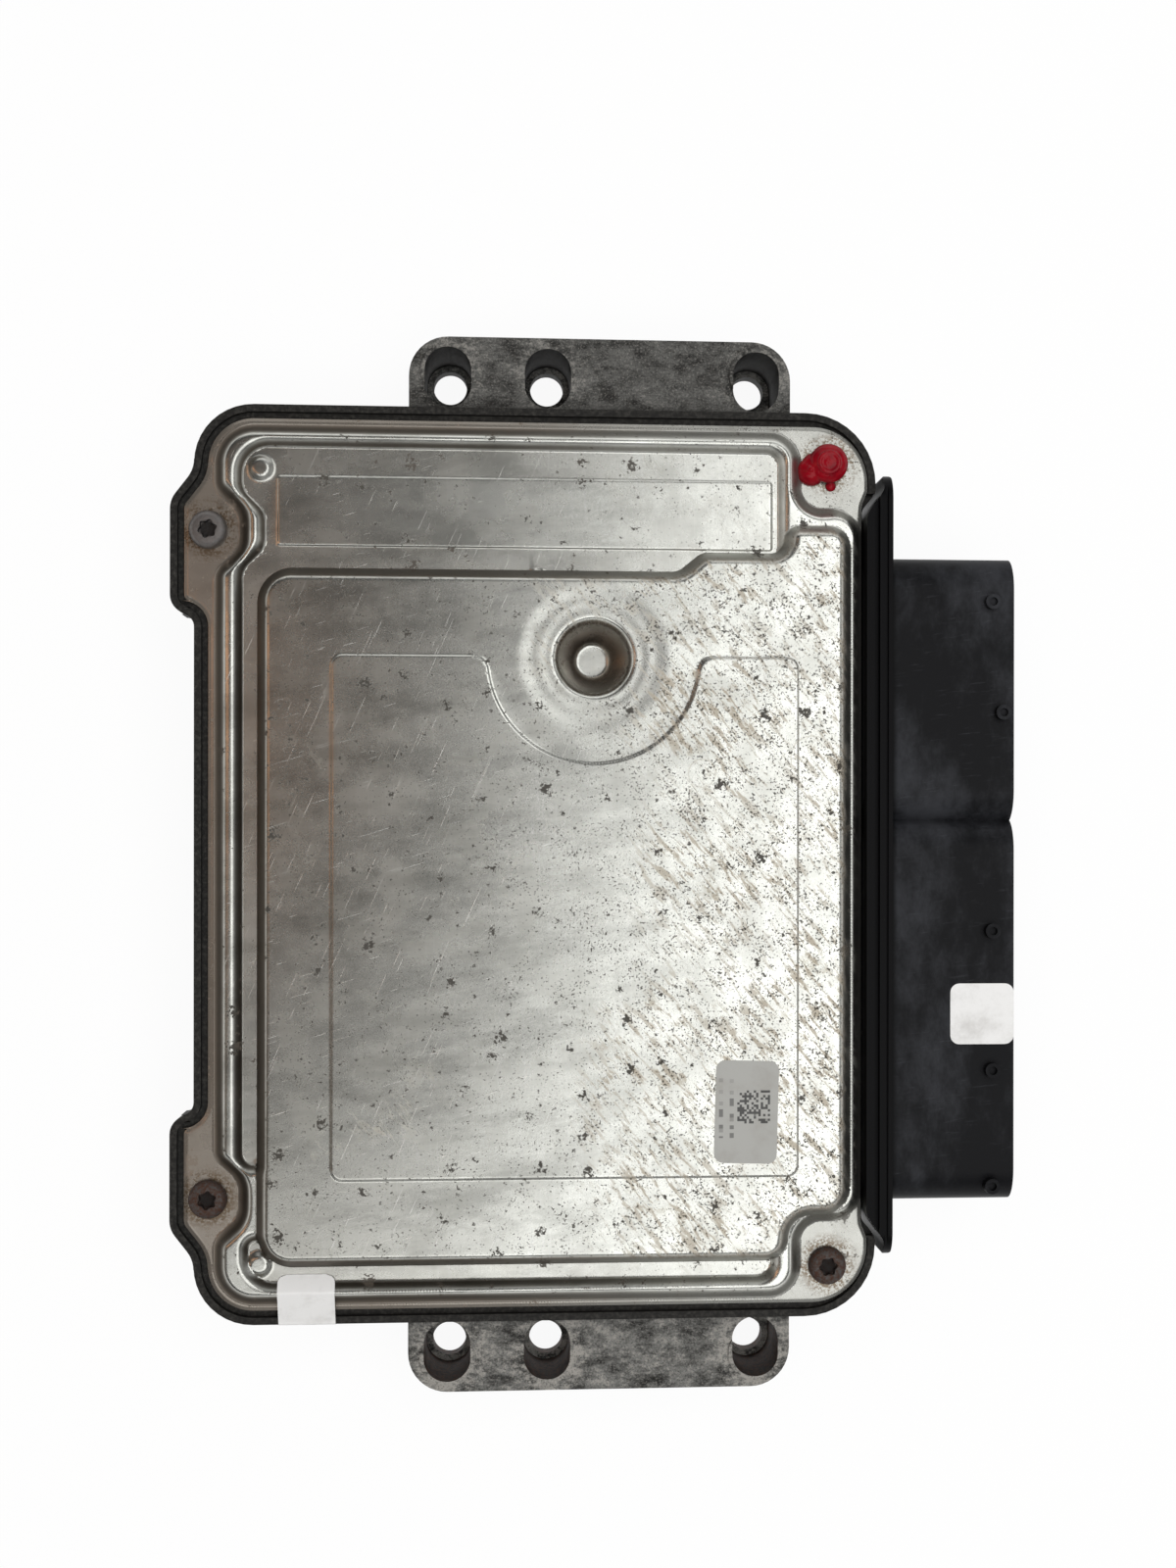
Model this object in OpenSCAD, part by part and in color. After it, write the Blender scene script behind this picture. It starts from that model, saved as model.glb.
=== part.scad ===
// Engine control unit: die-cast case, pressed cover and a two-socket connector header.
// +Z points out of the cover, +X out of the sockets. The origin is under the middle of the part.

/* [Case] */
// Width of the case, from its left wall to the face that carries the header
case_w = 130.8; // [120:0.1:165]
// Length of the case between its two lug sides
case_l = 178.8; // [170:0.1:220]
// Height of the seat that the cover lies on
case_h = 27; // [25.5:0.1:34]
// Radius of the case's corners
corner_r = 11.5; // [9:0.1:14]
// Width of the seat from the rim's edge to the inside of the case
seat_w = 7.4; // [7:0.1:9]
// Thickness of the wall that carries the header
end_wall_t = 5; // [4:0.1:6]
// Thickness of the case's floor, with its cooling ribs
floor_t = 5.5; // [5:0.1:6.2]
// How far the rim stands out over the wall below it
rim_overhang = 3.2; // [1:0.1:4]
// Height of the rim
rim_h = 6; // [4:0.1:9]
// Width of the lip round the cover
lip_w = 1.4; // [0.8:0.1:2]
// Height of the lip over the cover's seat
lip_h = 1.7; // [1:0.1:2.4]
// Number of slots between the cooling ribs
slot_count = 15; // [5:1:19]
// Width of a slot between two cooling ribs
slot_w = 6; // [3:0.1:6.5]
// Depth of the slots between the cooling ribs
slot_depth = 2.6; // [1:0.1:3]

/* [Lugs] */
// Width of a bolt lug
lug_w = 76; // [70:0.1:90]
// How far a bolt lug stands out of the case
lug_out = 15.3; // [12:0.1:20]
// Height of a bolt lug
lug_h = 22; // [12:0.1:22]
// Radius of a lug's outer corners
lug_r = 7.8; // [4:0.1:9]
// Distance between the outer bolt holes of a lug
bolt_span = 61.4; // [50:0.1:62]
// Distance from the left bolt hole to the middle one
bolt_step = 19.8; // [14:0.1:30]
// Diameter of the bolt holes
bolt_d = 6.8; // [5.5:0.1:8]
// Diameter of a bolt hole's mouth
bolt_mouth_d = 9.2; // [8.2:0.1:9.6]

/* [Cover] */
// Thickness of the cover's sheet
sheet_t = 1.5; // [1:0.1:2]
// Height of the shoulder over the cover's flange
shoulder_h = 3; // [2.4:0.1:5]
// Depth of the pockets below the shoulder
pocket_d = 1.8; // [1:0.1:2.4]
// Height of the main field over the pockets
field_h = 4.8; // [3:0.1:7]
// Height of the two flat panels
panel_h = 0.5; // [0.2:0.1:1]
// Radius of the funnel's mouth
funnel_r = 7.2; // [6:0.1:10]
// Radius of the funnel's flat end
funnel_end_r = 3.1; // [2:0.1:4.5]
// Depth of the funnel
funnel_depth = 9.5; // [5:0.1:14]

/* [Screws] */
// Diameter of a cover screw's head
head_d = 8; // [6:0.1:9]
// Height of a cover screw's head
head_h = 2.5; // [1.5:0.1:3]
// Diameter of a cover screw's shank
shank_d = 4; // [3:0.1:5]
// Length of a cover screw's shank
shank_l = 14; // [8:0.5:20]

/* [Header] */
// Thickness of the header's flange
flange_t = 5.2; // [4:0.1:8]
// Length of the header's flange
flange_l = 154; // [148:0.1:156]
// Height of the header's flange
flange_h = 33; // [32:0.1:36]
// How far the sockets stand out of the flange
shroud_l = 24.4; // [20:0.1:32]
// Height of the sockets
shroud_h = 30; // [26:0.1:31.5]
// Length of the smaller socket
small_l = 52.1; // [51:0.1:56]
// Length of the larger socket
large_l = 75.6; // [75:0.1:80]
// Thickness of a socket's wall
shroud_wall = 1.8; // [1.2:0.1:2.4]
// Radius of a socket's corners
shroud_r = 6.5; // [4:0.1:7]
// Diameter of the locking pegs
peg_d = 3; // [2:0.1:4]
// Height of the locking pegs
peg_h = 2; // [1:0.1:2.2]

/* [Contacts] */
// Pitch of the contact pins along a row
pin_pitch = 2.54; // [2:0.01:2.7]
// Distance between two rows of contact pins
row_pitch = 3.8; // [3:0.1:4.2]
// Width of a signal pin
pin_w = 0.64; // [0.4:0.01:1]
// Width of a power pin
power_w = 2.8; // [2:0.1:3]
// How far the pins stand out into the socket
pin_reach = 11; // [8:0.1:14]

/* [Circuit board] */
// Thickness of the circuit board
board_t = 1.6; // [1:0.1:2]
// Room under the circuit board
board_lift = 1.9; // [1:0.1:3]
// Room round the circuit board
board_gap = 0.8; // [0.5:0.1:2]

/* [Labels] */
// Thickness of the labels
label_t = 0.1; // [0.05:0.01:0.2]
// Width of the label on the cover's edge
edge_label_w = 11; // [6:0.1:16]
// Width of the label on the larger socket
header_label_w = 12; // [8:0.1:16]
// Size of the label on the cover's field
trace_label_size = [12.3, 20]; // [8:0.1:24]

/* [Hidden] */

$fn = 48;
eps = 0.01;
arc_angle = 9;

// Ear, lobe and clearance sizes
ear_out = 4.6;
ear_r = 3.8;
ear_near = 48.5;
ear_far = 70.6;
ear_blend = 6;
lobe_out = 2.5;
lobe_y = 72.6;
edge_gap = 0.3;
fit_gap = 0.05;

// Places along X: ear, case wall, header face, flange face, socket mouth
total_w = ear_out + case_w + flange_t + shroud_l;
x_ear = -total_w / 2;
x_case = x_ear + ear_out;
x_wall = x_case + case_w;
x_flange = x_wall + flange_t;
x_mouth = x_flange + shroud_l;
y_case = case_l / 2;
y_lug = y_case + lug_out;
x_lug = x_case + 41;
bolt_edge = [7.7, 6.7];
x_bolts = [for (step = [0, bolt_step, bolt_span]) x_lug + bolt_edge.x + step];
y_bolt = y_lug - bolt_edge.y;

// Heights of the cover's levels, each the top of the sheet
z_flange = case_h + sheet_t;
z_shoulder = z_flange + shoulder_h;
z_pocket = z_shoulder - pocket_d;
z_field = z_pocket + field_h;
z_panel = z_field + panel_h;
z_funnel = z_field - funnel_depth;

// Cover: room to the lip, outline corners and the widths of its pressed slopes
cover_inset = lip_w + 1.3;
x_cover = x_wall - edge_gap;
cover_corner_r = 11;
lobe_room = 1.6;
slope_w = 2.6;
pocket_slope_w = 1.9;
field_slope_w = 2.4;
skin_w = 1;
foot_drop = 1.2;
panel_slope_w = 0.6;
pad_r = 5.8;
foot_inset = 1;
foot_right = 0.2;
ridge_w = 5.3;
// Distances of the cover's lines from the case's own edges
field_left = 12.2;
field_right = 3;
field_bottom = 11.3;
field_top = 31.8;
pocket_left = 9.5;
pocket_top = 8.5;
pocket_right = 17.2;
pocket_end = -58;

// Cover screws: two on the left ears, two in the right corners
ear_screw = [x_case + 2.8, 64.8];
corner_screw = [x_wall - 7.1, y_case - 10.1];
screws = [
  for (s = [-1, 1]) [ear_screw.x, s * ear_screw.y],
  for (s = [-1, 1]) [corner_screw.x, s * corner_screw.y]
];
bay_seat_w = 4.2;
ear_boss_r = 5.6;
ear_boss_h = 16;
recess_d = 3.2;
recess_depth = 1.4;

// Funnel and the cast post that carries its end
funnel_pos = [x_case + 77.2, 40.2];
panel_arc_r = 20.3;
rim_drop = 0.1;
post_r = 5.4;

// Header and its contacts
header_z = 0.8;
shroud_z = header_z + (flange_h - shroud_h) / 2;
z_axis = shroud_z + shroud_h / 2;
seam_y = 8.9;
small_y = seam_y + small_l / 2;
large_y = seam_y - large_l / 2;
seam_overlap = 1;
root_l = 132;
root_in = 7;
root_z = 7;
carrier_t = 5.6;
x_carrier = x_flange + 0.6 - carrier_t;
tail_step = 2.6;
rows = 4;
small_columns = 15;
large_columns = 22;
power_rows = 3;
power_pitch = 5.2;
peg_places = [
  [x_mouth - 4.5, 51.9], [x_mouth - 2.4, 30.1], [x_mouth - 4.5, -13], [x_mouth - 4.5, -40.5], [x_mouth - 4.6, -63.3]
];

// Circuit board
board_z = floor_t + board_lift;
board_top = board_z + board_t;
x_board = x_wall - root_in - board_gap;
board_screw_places = [
  for (s = [-1, 1]) [x_case + 16, s * (y_case - 12)],
  for (s = [-1, 1]) [x_wall - 22, s * (y_case - 11)],
  [x_case + 11, 0]
];
board_boss_r = 4;
board_screw_d = 3;

// A closed outline is a list of corners [x, y, radius], counter-clockwise.
function unit(v) = v / norm(v);
function left_of(v) = [-v.y, v.x];
function flip_y(corners) = [for (i = [len(corners) - 1:-1:0]) [corners[i].x, -corners[i].y, corners[i].z]];

// Points of one rounded corner, with the outline moved inwards by inset
function corner_arc(before, corner, after, inset) =
  let (
    u = unit([corner.x - before.x, corner.y - before.y]),
    v = unit([after.x - corner.x, after.y - corner.y]),
    side = cross(u, v) > 0 ? 1 : -1,
    turn = acos(u * v),
    steps = max(2, ceil(turn / arc_angle)),
    centre = [corner.x, corner.y] - u * corner.z * tan(turn / 2) + side * corner.z * left_of(u),
    start = atan2(-side * left_of(u).y, -side * left_of(u).x)
  )
  [
    for (k = [0:steps])
      let (angle = start + side * turn * k / steps)
        centre + (corner.z - side * inset) * [cos(angle), sin(angle)]
  ];

// Points of a rounded outline, moved inwards by inset
function ring(corners, inset = 0) =
  let (n = len(corners))
    [for (i = [0:n - 1]) each corner_arc(corners[(i + n - 1) % n], corners[i], corners[(i + 1) % n], inset)];

// Steps of a pressed wall, from its foot at z0 to its crown at z1: pairs of inset and height
function pressed_wall(z0, z1, width, inset = 0) =
  [
    for (k = [0:4])
      let (rise = (1 - cos(45 * k)) / 2)
        [inset + width * k / 4, z0 * (1 - rise) + z1 * rise]
  ];

// A solid lofted through rings of one outline
module loft(corners, steps) {
  rings = [for (s = steps) [for (p = ring(corners, s[0])) [p.x, p.y, s[1]]]];
  n = len(rings[0]);
  last = len(rings) - 1;
  sides = [
    for (j = [0:last - 1], i = [0:n - 1])
      [j * n + i, (j + 1) * n + i, (j + 1) * n + (i + 1) % n, j * n + (i + 1) % n]
  ];
  bottom = [for (i = [0:n - 1]) i];
  top = [for (i = [n - 1:-1:0]) last * n + i];
  polyhedron(points = [for (r = rings) each r], faces = concat([bottom, top], sides));
}

// A straight-walled solid on an outline
module slab(corners, z0, z1, inset = 0) {
  translate([0, 0, z0]) linear_extrude(z1 - z0) polygon(ring(corners, inset));
}

// A rectangle with round corners, centred
module round_rect(size, r) {
  square([size.x - 2 * r, size.y], center = true);
  square([size.x, size.y - 2 * r], center = true);
  for (x = [-1, 1], y = [-1, 1]) translate([x * (size.x / 2 - r), y * (size.y / 2 - r)]) circle(r);
}

// Lays a drawing of the Y-Z plane out along X, from x0 to x1
module along_x(x0, x1) {
  translate([x0, 0, 0]) rotate([90, 0, 90]) linear_extrude(x1 - x0) children();
}

// Left half of the case's outline over the X axis: corner and ear
ear_corners = [
  [x_case, y_case, corner_r],
  [x_case, ear_far + ear_blend, 6],
  [x_ear, ear_far, 5],
  [x_ear, ear_near, ear_r],
  [x_case, ear_near, 2.4]
];
case_top = concat(
  [
    [x_wall, lobe_y - 2, 2.4],
    [x_wall + lobe_out, lobe_y + 1, 3],
    [x_wall + lobe_out, y_case, corner_r + lobe_out]
  ],
  ear_corners
);
case_corners = concat(case_top, flip_y(case_top));

// The cover's edge before it is set in by cover_inset
x_lobe = x_wall + lobe_out - lobe_room + cover_inset;
cover_top = concat(
  [
    [x_cover + cover_inset, lobe_y - 2, 1],
    [x_lobe, lobe_y + 1, 4],
    [x_lobe, y_case, cover_corner_r + cover_inset]
  ],
  ear_corners
);
cover_corners = concat(cover_top, flip_y(cover_top));

// Foot of the cover's shoulder: set in from the cover's edge, with bays round the screws
x_foot_left = x_case + cover_inset + foot_inset;
x_foot_right = x_cover - foot_right;
y_foot = y_case - cover_inset - foot_inset;
bay = [corner_screw.x - pad_r + 0.6, corner_screw.y - 8.6];
ear_bay_half = [7.8, 3.4];
function ear_bay(x, reach) = [
  [x, ear_screw.y + ear_bay_half[0], 4],
  [ear_screw.x + reach, ear_screw.y + ear_bay_half[1], 4.5],
  [ear_screw.x + reach, ear_screw.y - ear_bay_half[1], 4.5],
  [x, ear_screw.y - ear_bay_half[0], 4]
];
shoulder_top = concat(
  [[x_foot_right, bay.y, 4], [bay.x, bay.y, 4], [bay.x, y_foot, 6.5], [x_foot_left, y_foot, 8.2]],
  ear_bay(x_foot_left, pad_r)
);
shoulder_corners = concat(shoulder_top, flip_y(shoulder_top));

// Inside of the case: it leaves a seat under the cover's shoulder all round, also round the screws
x_inside = [x_case + seat_w, x_wall - end_wall_t];
y_inside = y_case - seat_w;
inside_top = concat(
  [
    [x_inside[1], bay.y - bay_seat_w, 4],
    [bay.x - bay_seat_w, bay.y - bay_seat_w, 4],
    [bay.x - bay_seat_w, y_inside, 4],
    [x_inside[0], y_inside, 5.5]
  ],
  ear_bay(x_inside[0], pad_r + bay_seat_w)
);
inside_corners = concat(inside_top, flip_y(inside_top));
body_r = corner_r - rim_overhang;
body_corners = [
  for (c = [[1, -1], [1, 1], [-1, 1], [-1, -1]])
    [c.x > 0 ? x_wall : x_case + rim_overhang, c.y * (y_case - rim_overhang), body_r]
];

// Foot of the main field
x_field = [x_case + field_left, x_wall - field_right];
y_field = [field_bottom - y_case, y_case - field_top];
field_corners = [
  [x_field[1], 1.8 - bay.y, 5.5],
  [x_field[1], bay.y - 3.9, 4.2],
  [bay.x - 3.8, bay.y - 3.9, 3],
  [bay.x - 3.8, y_field[1] + 3.8, 2.6],
  [bay.x - 20, y_field[1] + 3.8, 3.4],
  [bay.x - 24.6, y_field[1], 3.4],
  [x_field[0], y_field[1], 7],
  [x_field[0], y_field[0], 7],
  [bay.x - 2.8, y_field[0], 5],
  [bay.x - 2.8, 1.8 - bay.y, 4.5]
];

// Floors of the two pockets; the main field covers their inner parts
x_pocket = x_case + pocket_left;
upper_pocket = concat(
  [
    [x_wall - pocket_right, pocket_end, 2],
    [x_wall - pocket_right, y_case - pocket_top, 2.4],
    [x_pocket, y_case - pocket_top, 5.2]
  ],
  ear_bay(x_pocket, pad_r + ridge_w),
  [[x_pocket, pocket_end, 2.2]]
);
lower_pocket = [
  [x_wall - pocket_right - 1.2, pocket_top - y_case, 3],
  [x_wall - pocket_right - 1.2, -72.9, 3],
  [x_pocket + 1.2, -72.9, 1.4],
  [x_pocket + 1.2, pocket_top - y_case, 5]
];

// One side of the pressed sheet: inset is 0 on its top, the wall's width on its underside
module pressed_form(inset, drop) {
  difference() {
    loft(shoulder_corners, concat(
      [[inset, case_h - 1 - drop]],
      pressed_wall(z_flange - foot_drop * drop, z_shoulder - drop, slope_w, inset)
    ));
    for (p = [upper_pocket, lower_pocket])
      loft(p, concat(
        pressed_wall(z_pocket - drop, z_shoulder - drop, -pocket_slope_w, -inset),
        [[-inset - pocket_slope_w, z_shoulder + 1]]
      ));
  }
  loft(field_corners, concat(
    [[inset, case_h - 1 - drop]],
    pressed_wall(z_pocket - drop, z_field - drop, field_slope_w, inset)
  ));
  translate([0, 0, -drop]) {
    pocket_panel(inset);
    field_panel(inset);
    for (p = [[x_pocket + 3.4, y_case - 12.6], [x_pocket + 3.2, 12 - y_case]]) translate(p) dimple(inset);
  }
}

// Flat panel of the upper pocket, a step over its floor
module pocket_panel(inset) {
  x = [x_pocket + 6.4, x_wall - pocket_right - 1];
  y = [y_field[1] - 2, y_case - 13.8];
  hull() for (s = [[0, z_pocket - 0.5], [panel_slope_w, z_pocket + panel_h]])
    translate([x[0] + inset + s[0], y[0], z_pocket - 1])
      cube([x[1] - x[0] - 2 * (inset + s[0]), y[1] - y[0] - inset - s[0], s[1] - z_pocket + 1]);
}

// Flat panel of the main field, with a round cut about the funnel
module field_panel(inset) {
  x = [x_field[0] + 14.4, x_field[1] - 10.5];
  y = [y_field[0] + 17.2, funnel_pos.y + 0.4];
  frame = [[x[1], y[0], 2.4], [x[1], y[1], 2.4], [x[0], y[1], 2.4], [x[0], y[0], 2.4]];
  difference() {
    hull() {
      slab(frame, z_field - 1, z_field - 0.5, inset);
      slab(frame, z_field - 1, z_field + panel_h, inset + panel_slope_w);
    }
    translate([funnel_pos.x, funnel_pos.y, z_field - 2]) cylinder(panel_h + 3, r = panel_arc_r + inset);
  }
}

// Round bump on a pocket's floor
module dimple(inset) {
  translate([0, 0, z_pocket - 1])
    hull() {
      cylinder(0.8, r = 2.7 - inset, $fn = 24);
      cylinder(1.5, r = 1.9 - inset, $fn = 24);
      cylinder(1.7, r = 1.35 - inset, $fn = 24);
    }
}

// Side of the funnel, from its mouth down to its flat end, grown outwards by skin
function funnel_side(skin) = [
  for (k = [0:6])
    [
      skin + funnel_end_r + (funnel_r - funnel_end_r) * (1 - sin(15 * k)),
      z_funnel + (funnel_depth - rim_drop) * (1 - pow(k / 6, 1.5))
    ]
];

module cover() {
  color([0.74, 0.74, 0.72])
    difference() {
      union() {
        difference() {
          union() {
            slab(cover_corners, case_h, z_flange, cover_inset);
            pressed_form(0, 0);
          }
          pressed_form(skin_w, sheet_t);
          translate([0, 0, case_h]) mirror([0, 0, 1]) linear_extrude(case_h) square(2 * total_w, center = true);
        }
        translate(funnel_pos) rotate_extrude()
          polygon(concat([[0, z_field - sheet_t / 2]], funnel_side(skin_w), [[0, z_funnel - sheet_t]]));
      }
      translate(funnel_pos) rotate_extrude()
        polygon(concat([[0, z_panel + 1], [funnel_r, z_panel + 1]], funnel_side(0), [[0, z_funnel]]));
      for (s = screws) translate([s.x, s.y, case_h - 1]) cylinder(sheet_t + 2, d = shank_d + 0.6, $fn = 24);
    }
}

// Outline of a lug, from the case's wall outwards
function lug_corners() = [
  [x_lug + lug_w, y_inside + 1, 0.5],
  [x_lug + lug_w, y_lug, lug_r],
  [x_lug, y_lug, lug_r],
  [x_lug, y_inside + 1, 0.5]
];

// Bolt holes: each ends in a land, and its wider mouth runs on towards the case
module bolt_holes() {
  land = 4;
  relief = 2.7;
  r = bolt_mouth_d / 2;
  bend = r - 0.05;
  near = y_bolt - relief - r;
  far = y_bolt + r;
  for (x = x_bolts, s = [0, 1]) mirror([0, s, 0]) {
    translate([x, y_bolt, -1]) cylinder(lug_h + 3, d = bolt_d);
    slab([[x + r, near, bend], [x + r, far, bend], [x - r, far, bend], [x - r, near, bend]], land, lug_h + 2);
  }
}

module lugs() {
  ring_h = 0.5;
  ring_r = 5.4;
  for (s = [0, 1]) mirror([0, s, 0]) {
    slab(lug_corners(), 0, lug_h);
    for (i = [0, 2]) translate([x_bolts[i], y_bolt, lug_h - 1]) cylinder(1 + ring_h, r = ring_r);
  }
}

module cooling_slots() {
  pitch = (case_l - 40) / slot_count;
  length = case_w - 46;
  for (i = [0:slot_count - 1])
    translate([x_case + 22, (i - (slot_count - 1) / 2) * pitch, -1])
      linear_extrude(slot_depth + 1) {
        translate([slot_w / 2, -slot_w / 2]) square([length - slot_w, slot_w]);
        for (x = [slot_w / 2, length - slot_w / 2]) translate([x, 0]) circle(d = slot_w, $fn = 24);
      }
}

vent_pos = [x_wall - 14, 0];
vent_r = 5;
vent_depth = 1;

module base_housing() {
  color([0.2, 0.2, 0.19])
    difference() {
      union() {
        slab(body_corners, 0, case_h - rim_h + eps);
        for (s = screws) translate([s.x, s.y, case_h - ear_boss_h]) cylinder(ear_boss_h - 1, r = ear_boss_r);
        slab(case_corners, case_h - rim_h, case_h);
        difference() {
          slab(case_corners, case_h - 1, case_h + lip_h);
          slab(case_corners, case_h, case_h + lip_h + 1, lip_w);
          translate([x_wall - lip_w - 1, -lobe_y - 1, case_h]) cube([10, 2 * lobe_y + 2, lip_h + 1]);
        }
        lugs();
      }
      difference() {
        union() {
          slab(inside_corners, floor_t, case_h + 1);
          translate([x_wall - root_in - fit_gap, -root_l / 2 - fit_gap, root_z])
            cube([root_in + 2, root_l + 2 * fit_gap, case_h]);
        }
        translate([funnel_pos.x, funnel_pos.y, floor_t - 1])
          cylinder(z_funnel - sheet_t - floor_t + 1, r1 = post_r, r2 = funnel_end_r + skin_w);
        for (p = board_screw_places) translate([p.x, p.y, floor_t - 1]) cylinder(board_lift + 1, r = board_boss_r);
      }
      bolt_holes();
      cooling_slots();
      for (s = screws) translate([s.x, s.y, z_flange - shank_l - 2]) cylinder(case_h, d = shank_d + 2 * fit_gap);
      for (p = board_screw_places) translate([p.x, p.y, slot_depth + 0.6]) cylinder(case_h, d = board_screw_d + 2 * fit_gap);
      translate([vent_pos.x, vent_pos.y, -1]) {
        cylinder(vent_depth + 1, r = vent_r);
        cylinder(floor_t + 2, r = 1.5);
      }
    }
}

// Bead under the cover's shoulder, from the case's seat to the sheet
module cover_seal() {
  seal_inset = 2.5;
  seal_w = 1.1;
  color([0.25, 0.25, 0.27])
    difference() {
      slab(shoulder_corners, case_h, z_pocket - sheet_t - fit_gap, seal_inset);
      slab(shoulder_corners, case_h - 1, z_shoulder, seal_inset + seal_w);
    }
}

module socket_outline(y, length, inset) {
  translate([y, z_axis]) round_rect([length - 2 * inset, shroud_h - 2 * inset], shroud_r - inset);
}

// Plan of the header's flange: its ends curve away from the case's corners
flange_corners = [
  [x_flange, -flange_l / 2, 0.8],
  [x_flange, flange_l / 2, 0.8],
  [x_flange - 1.9, flange_l / 2, 0.8],
  [x_wall + lobe_out + 1.2, lobe_y + 1.5, 3],
  [x_wall, lobe_y - 4, 3],
  [x_wall, 4 - lobe_y, 3],
  [x_wall + lobe_out + 1.2, -lobe_y - 1.5, 3],
  [x_flange - 1.9, -flange_l / 2, 0.8]
];

module connector_header() {
  groove_w = 1;
  groove_depth = 1.4;
  cup_depth = 1.1;
  cup_share = 0.55;
  color([0.07, 0.07, 0.08])
    difference() {
      union() {
        intersection() {
          slab(flange_corners, header_z, header_z + flange_h);
          along_x(x_wall - 1, x_flange + 1)
            translate([0, header_z + flange_h / 2]) round_rect([flange_l, flange_h], 5);
        }
        along_x(x_flange - 1, x_mouth) {
          socket_outline(small_y - seam_overlap / 4, small_l + seam_overlap / 2, 0);
          socket_outline(large_y + seam_overlap / 4, large_l + seam_overlap / 2, 0);
        }
        translate([x_wall - root_in, -root_l / 2, root_z]) cube([root_in + 1, root_l, case_h - root_z]);
        for (p = peg_places) translate([p.x, p.y, shroud_z - peg_h]) cylinder(shroud_h + 2 * peg_h, d = peg_d);
      }
      for (p = peg_places, z = [shroud_z - peg_h - 1, shroud_z + shroud_h + peg_h - cup_depth])
        translate([p.x, p.y, z]) cylinder(cup_depth + 1, d = peg_d * cup_share);
      along_x(x_wall - root_in - 1, x_mouth + 1) {
        socket_outline(small_y, small_l, shroud_wall);
        socket_outline(large_y, large_l, shroud_wall);
      }
      header_seal_band();
      translate([x_wall + 1.6, -flange_l, header_z + flange_h - groove_depth])
        cube([groove_w, 2 * flange_l, groove_depth + 1]);
      translate([x_flange - 1.4, -flange_l, header_z + flange_h - groove_depth / 2])
        cube([groove_w / 2, 2 * flange_l, groove_depth]);
    }
}

// Bead round the header's root, in a groove at its two ends and its underside
module header_seal_band() {
  bead_w = 1.6;
  bead_t = 0.8;
  along_x(x_wall - end_wall_t / 2 - bead_w / 2, x_wall - end_wall_t / 2 + bead_w / 2)
    difference() {
      translate([-root_l / 2, root_z]) square([root_l, case_h - root_z]);
      translate([-root_l / 2 + bead_t, root_z + bead_t]) square([root_l - 2 * bead_t, case_h - root_z]);
    }
}

module header_seal() {
  color([0.25, 0.25, 0.27]) header_seal_band();
}

// Places of the pins along Y in each socket
small_pins = [for (i = [0:small_columns - 1]) small_y + (i - (small_columns - 1) / 2) * pin_pitch];
large_pins = [for (i = [0:large_columns - 1]) large_y + 6.6 + (i - (large_columns - 1) / 2) * pin_pitch];
power_pins = [for (i = [0:1]) large_y - large_l / 2 + 6 + i * power_pitch];
function row_z(k, pitch, count) = z_axis + (k - (count - 1) / 2) * pitch;
function tail_x(k) = x_board - 2.4 - tail_step * k;

// One bent pin: straight through the carrier, then down to the board
module pin(y, z, x_tail, width) {
  translate([x_tail, y - width / 2, z - pin_w / 2]) cube([x_carrier + carrier_t + pin_reach - x_tail, width, pin_w]);
  translate([x_tail, y - width / 2, board_top]) cube([pin_w, width, z - board_top]);
}

module signal_pins(places) {
  for (y = places, k = [0:rows - 1]) pin(y, row_z(k, row_pitch, rows), tail_x(k), pin_w);
}

module signal_pins_small() {
  color([0.78, 0.74, 0.62]) signal_pins(small_pins);
}

module signal_pins_large() {
  color([0.78, 0.74, 0.62]) signal_pins(large_pins);
}

module power_pins_large() {
  color([0.78, 0.74, 0.62])
    for (y = power_pins, k = [0:power_rows - 1])
      pin(y, row_z(k, power_pitch, power_rows), tail_x(k), power_w);
}

// Plate in the floor of a socket, with a hole for each pin
module carrier(y, length) {
  color([0.1, 0.1, 0.11])
    difference() {
      along_x(x_carrier, x_carrier + carrier_t) socket_outline(y, length, shroud_wall + fit_gap);
      children();
    }
}

module pin_carrier_small() {
  carrier(small_y, small_l) signal_pins(small_pins);
}

module pin_carrier_large() {
  carrier(large_y, large_l) {
    signal_pins(large_pins);
    power_pins_large();
  }
}

module circuit_board() {
  color([0.08, 0.3, 0.14])
    difference() {
      slab(inside_corners, board_z, board_top, board_gap);
      translate([x_board, -case_l / 2, board_z - 1]) cube([case_w, case_l, board_t + 2]);
      translate([funnel_pos.x, funnel_pos.y, board_z - 1]) cylinder(board_t + 2, r = post_r + board_gap);
      for (p = board_screw_places) translate([p.x, p.y, board_z - 1]) cylinder(board_t + 2, d = board_screw_d + 0.4);
    }
}

// A pan-head screw with its head's underside at z = 0
module pan_screw(d, length, head, height) {
  translate([0, 0, -length]) cylinder(length + eps, d = d);
  difference() {
    rotate_extrude() polygon([
      [0, 0], [head / 2, 0], [head / 2, height * 0.45], [head * 0.46, height * 0.7],
      [head * 0.36, height * 0.92], [head * 0.24, height], [0, height]
    ]);
    translate([0, 0, height - recess_depth]) for (a = [0, 60, 120]) rotate(a)
      translate([-recess_d / 2, -recess_d / 6, 0]) cube([recess_d, recess_d / 3, recess_depth + 1]);
  }
}

module board_screws() {
  color([0.6, 0.6, 0.6])
    for (p = board_screw_places) translate([p.x, p.y, board_top]) cylinder(1.8, d = 5.6);
  color([0.6, 0.6, 0.6])
    for (p = board_screw_places) translate([p.x, p.y, slot_depth + 1]) cylinder(board_top - slot_depth - 0.9, d = board_screw_d);
}

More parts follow.
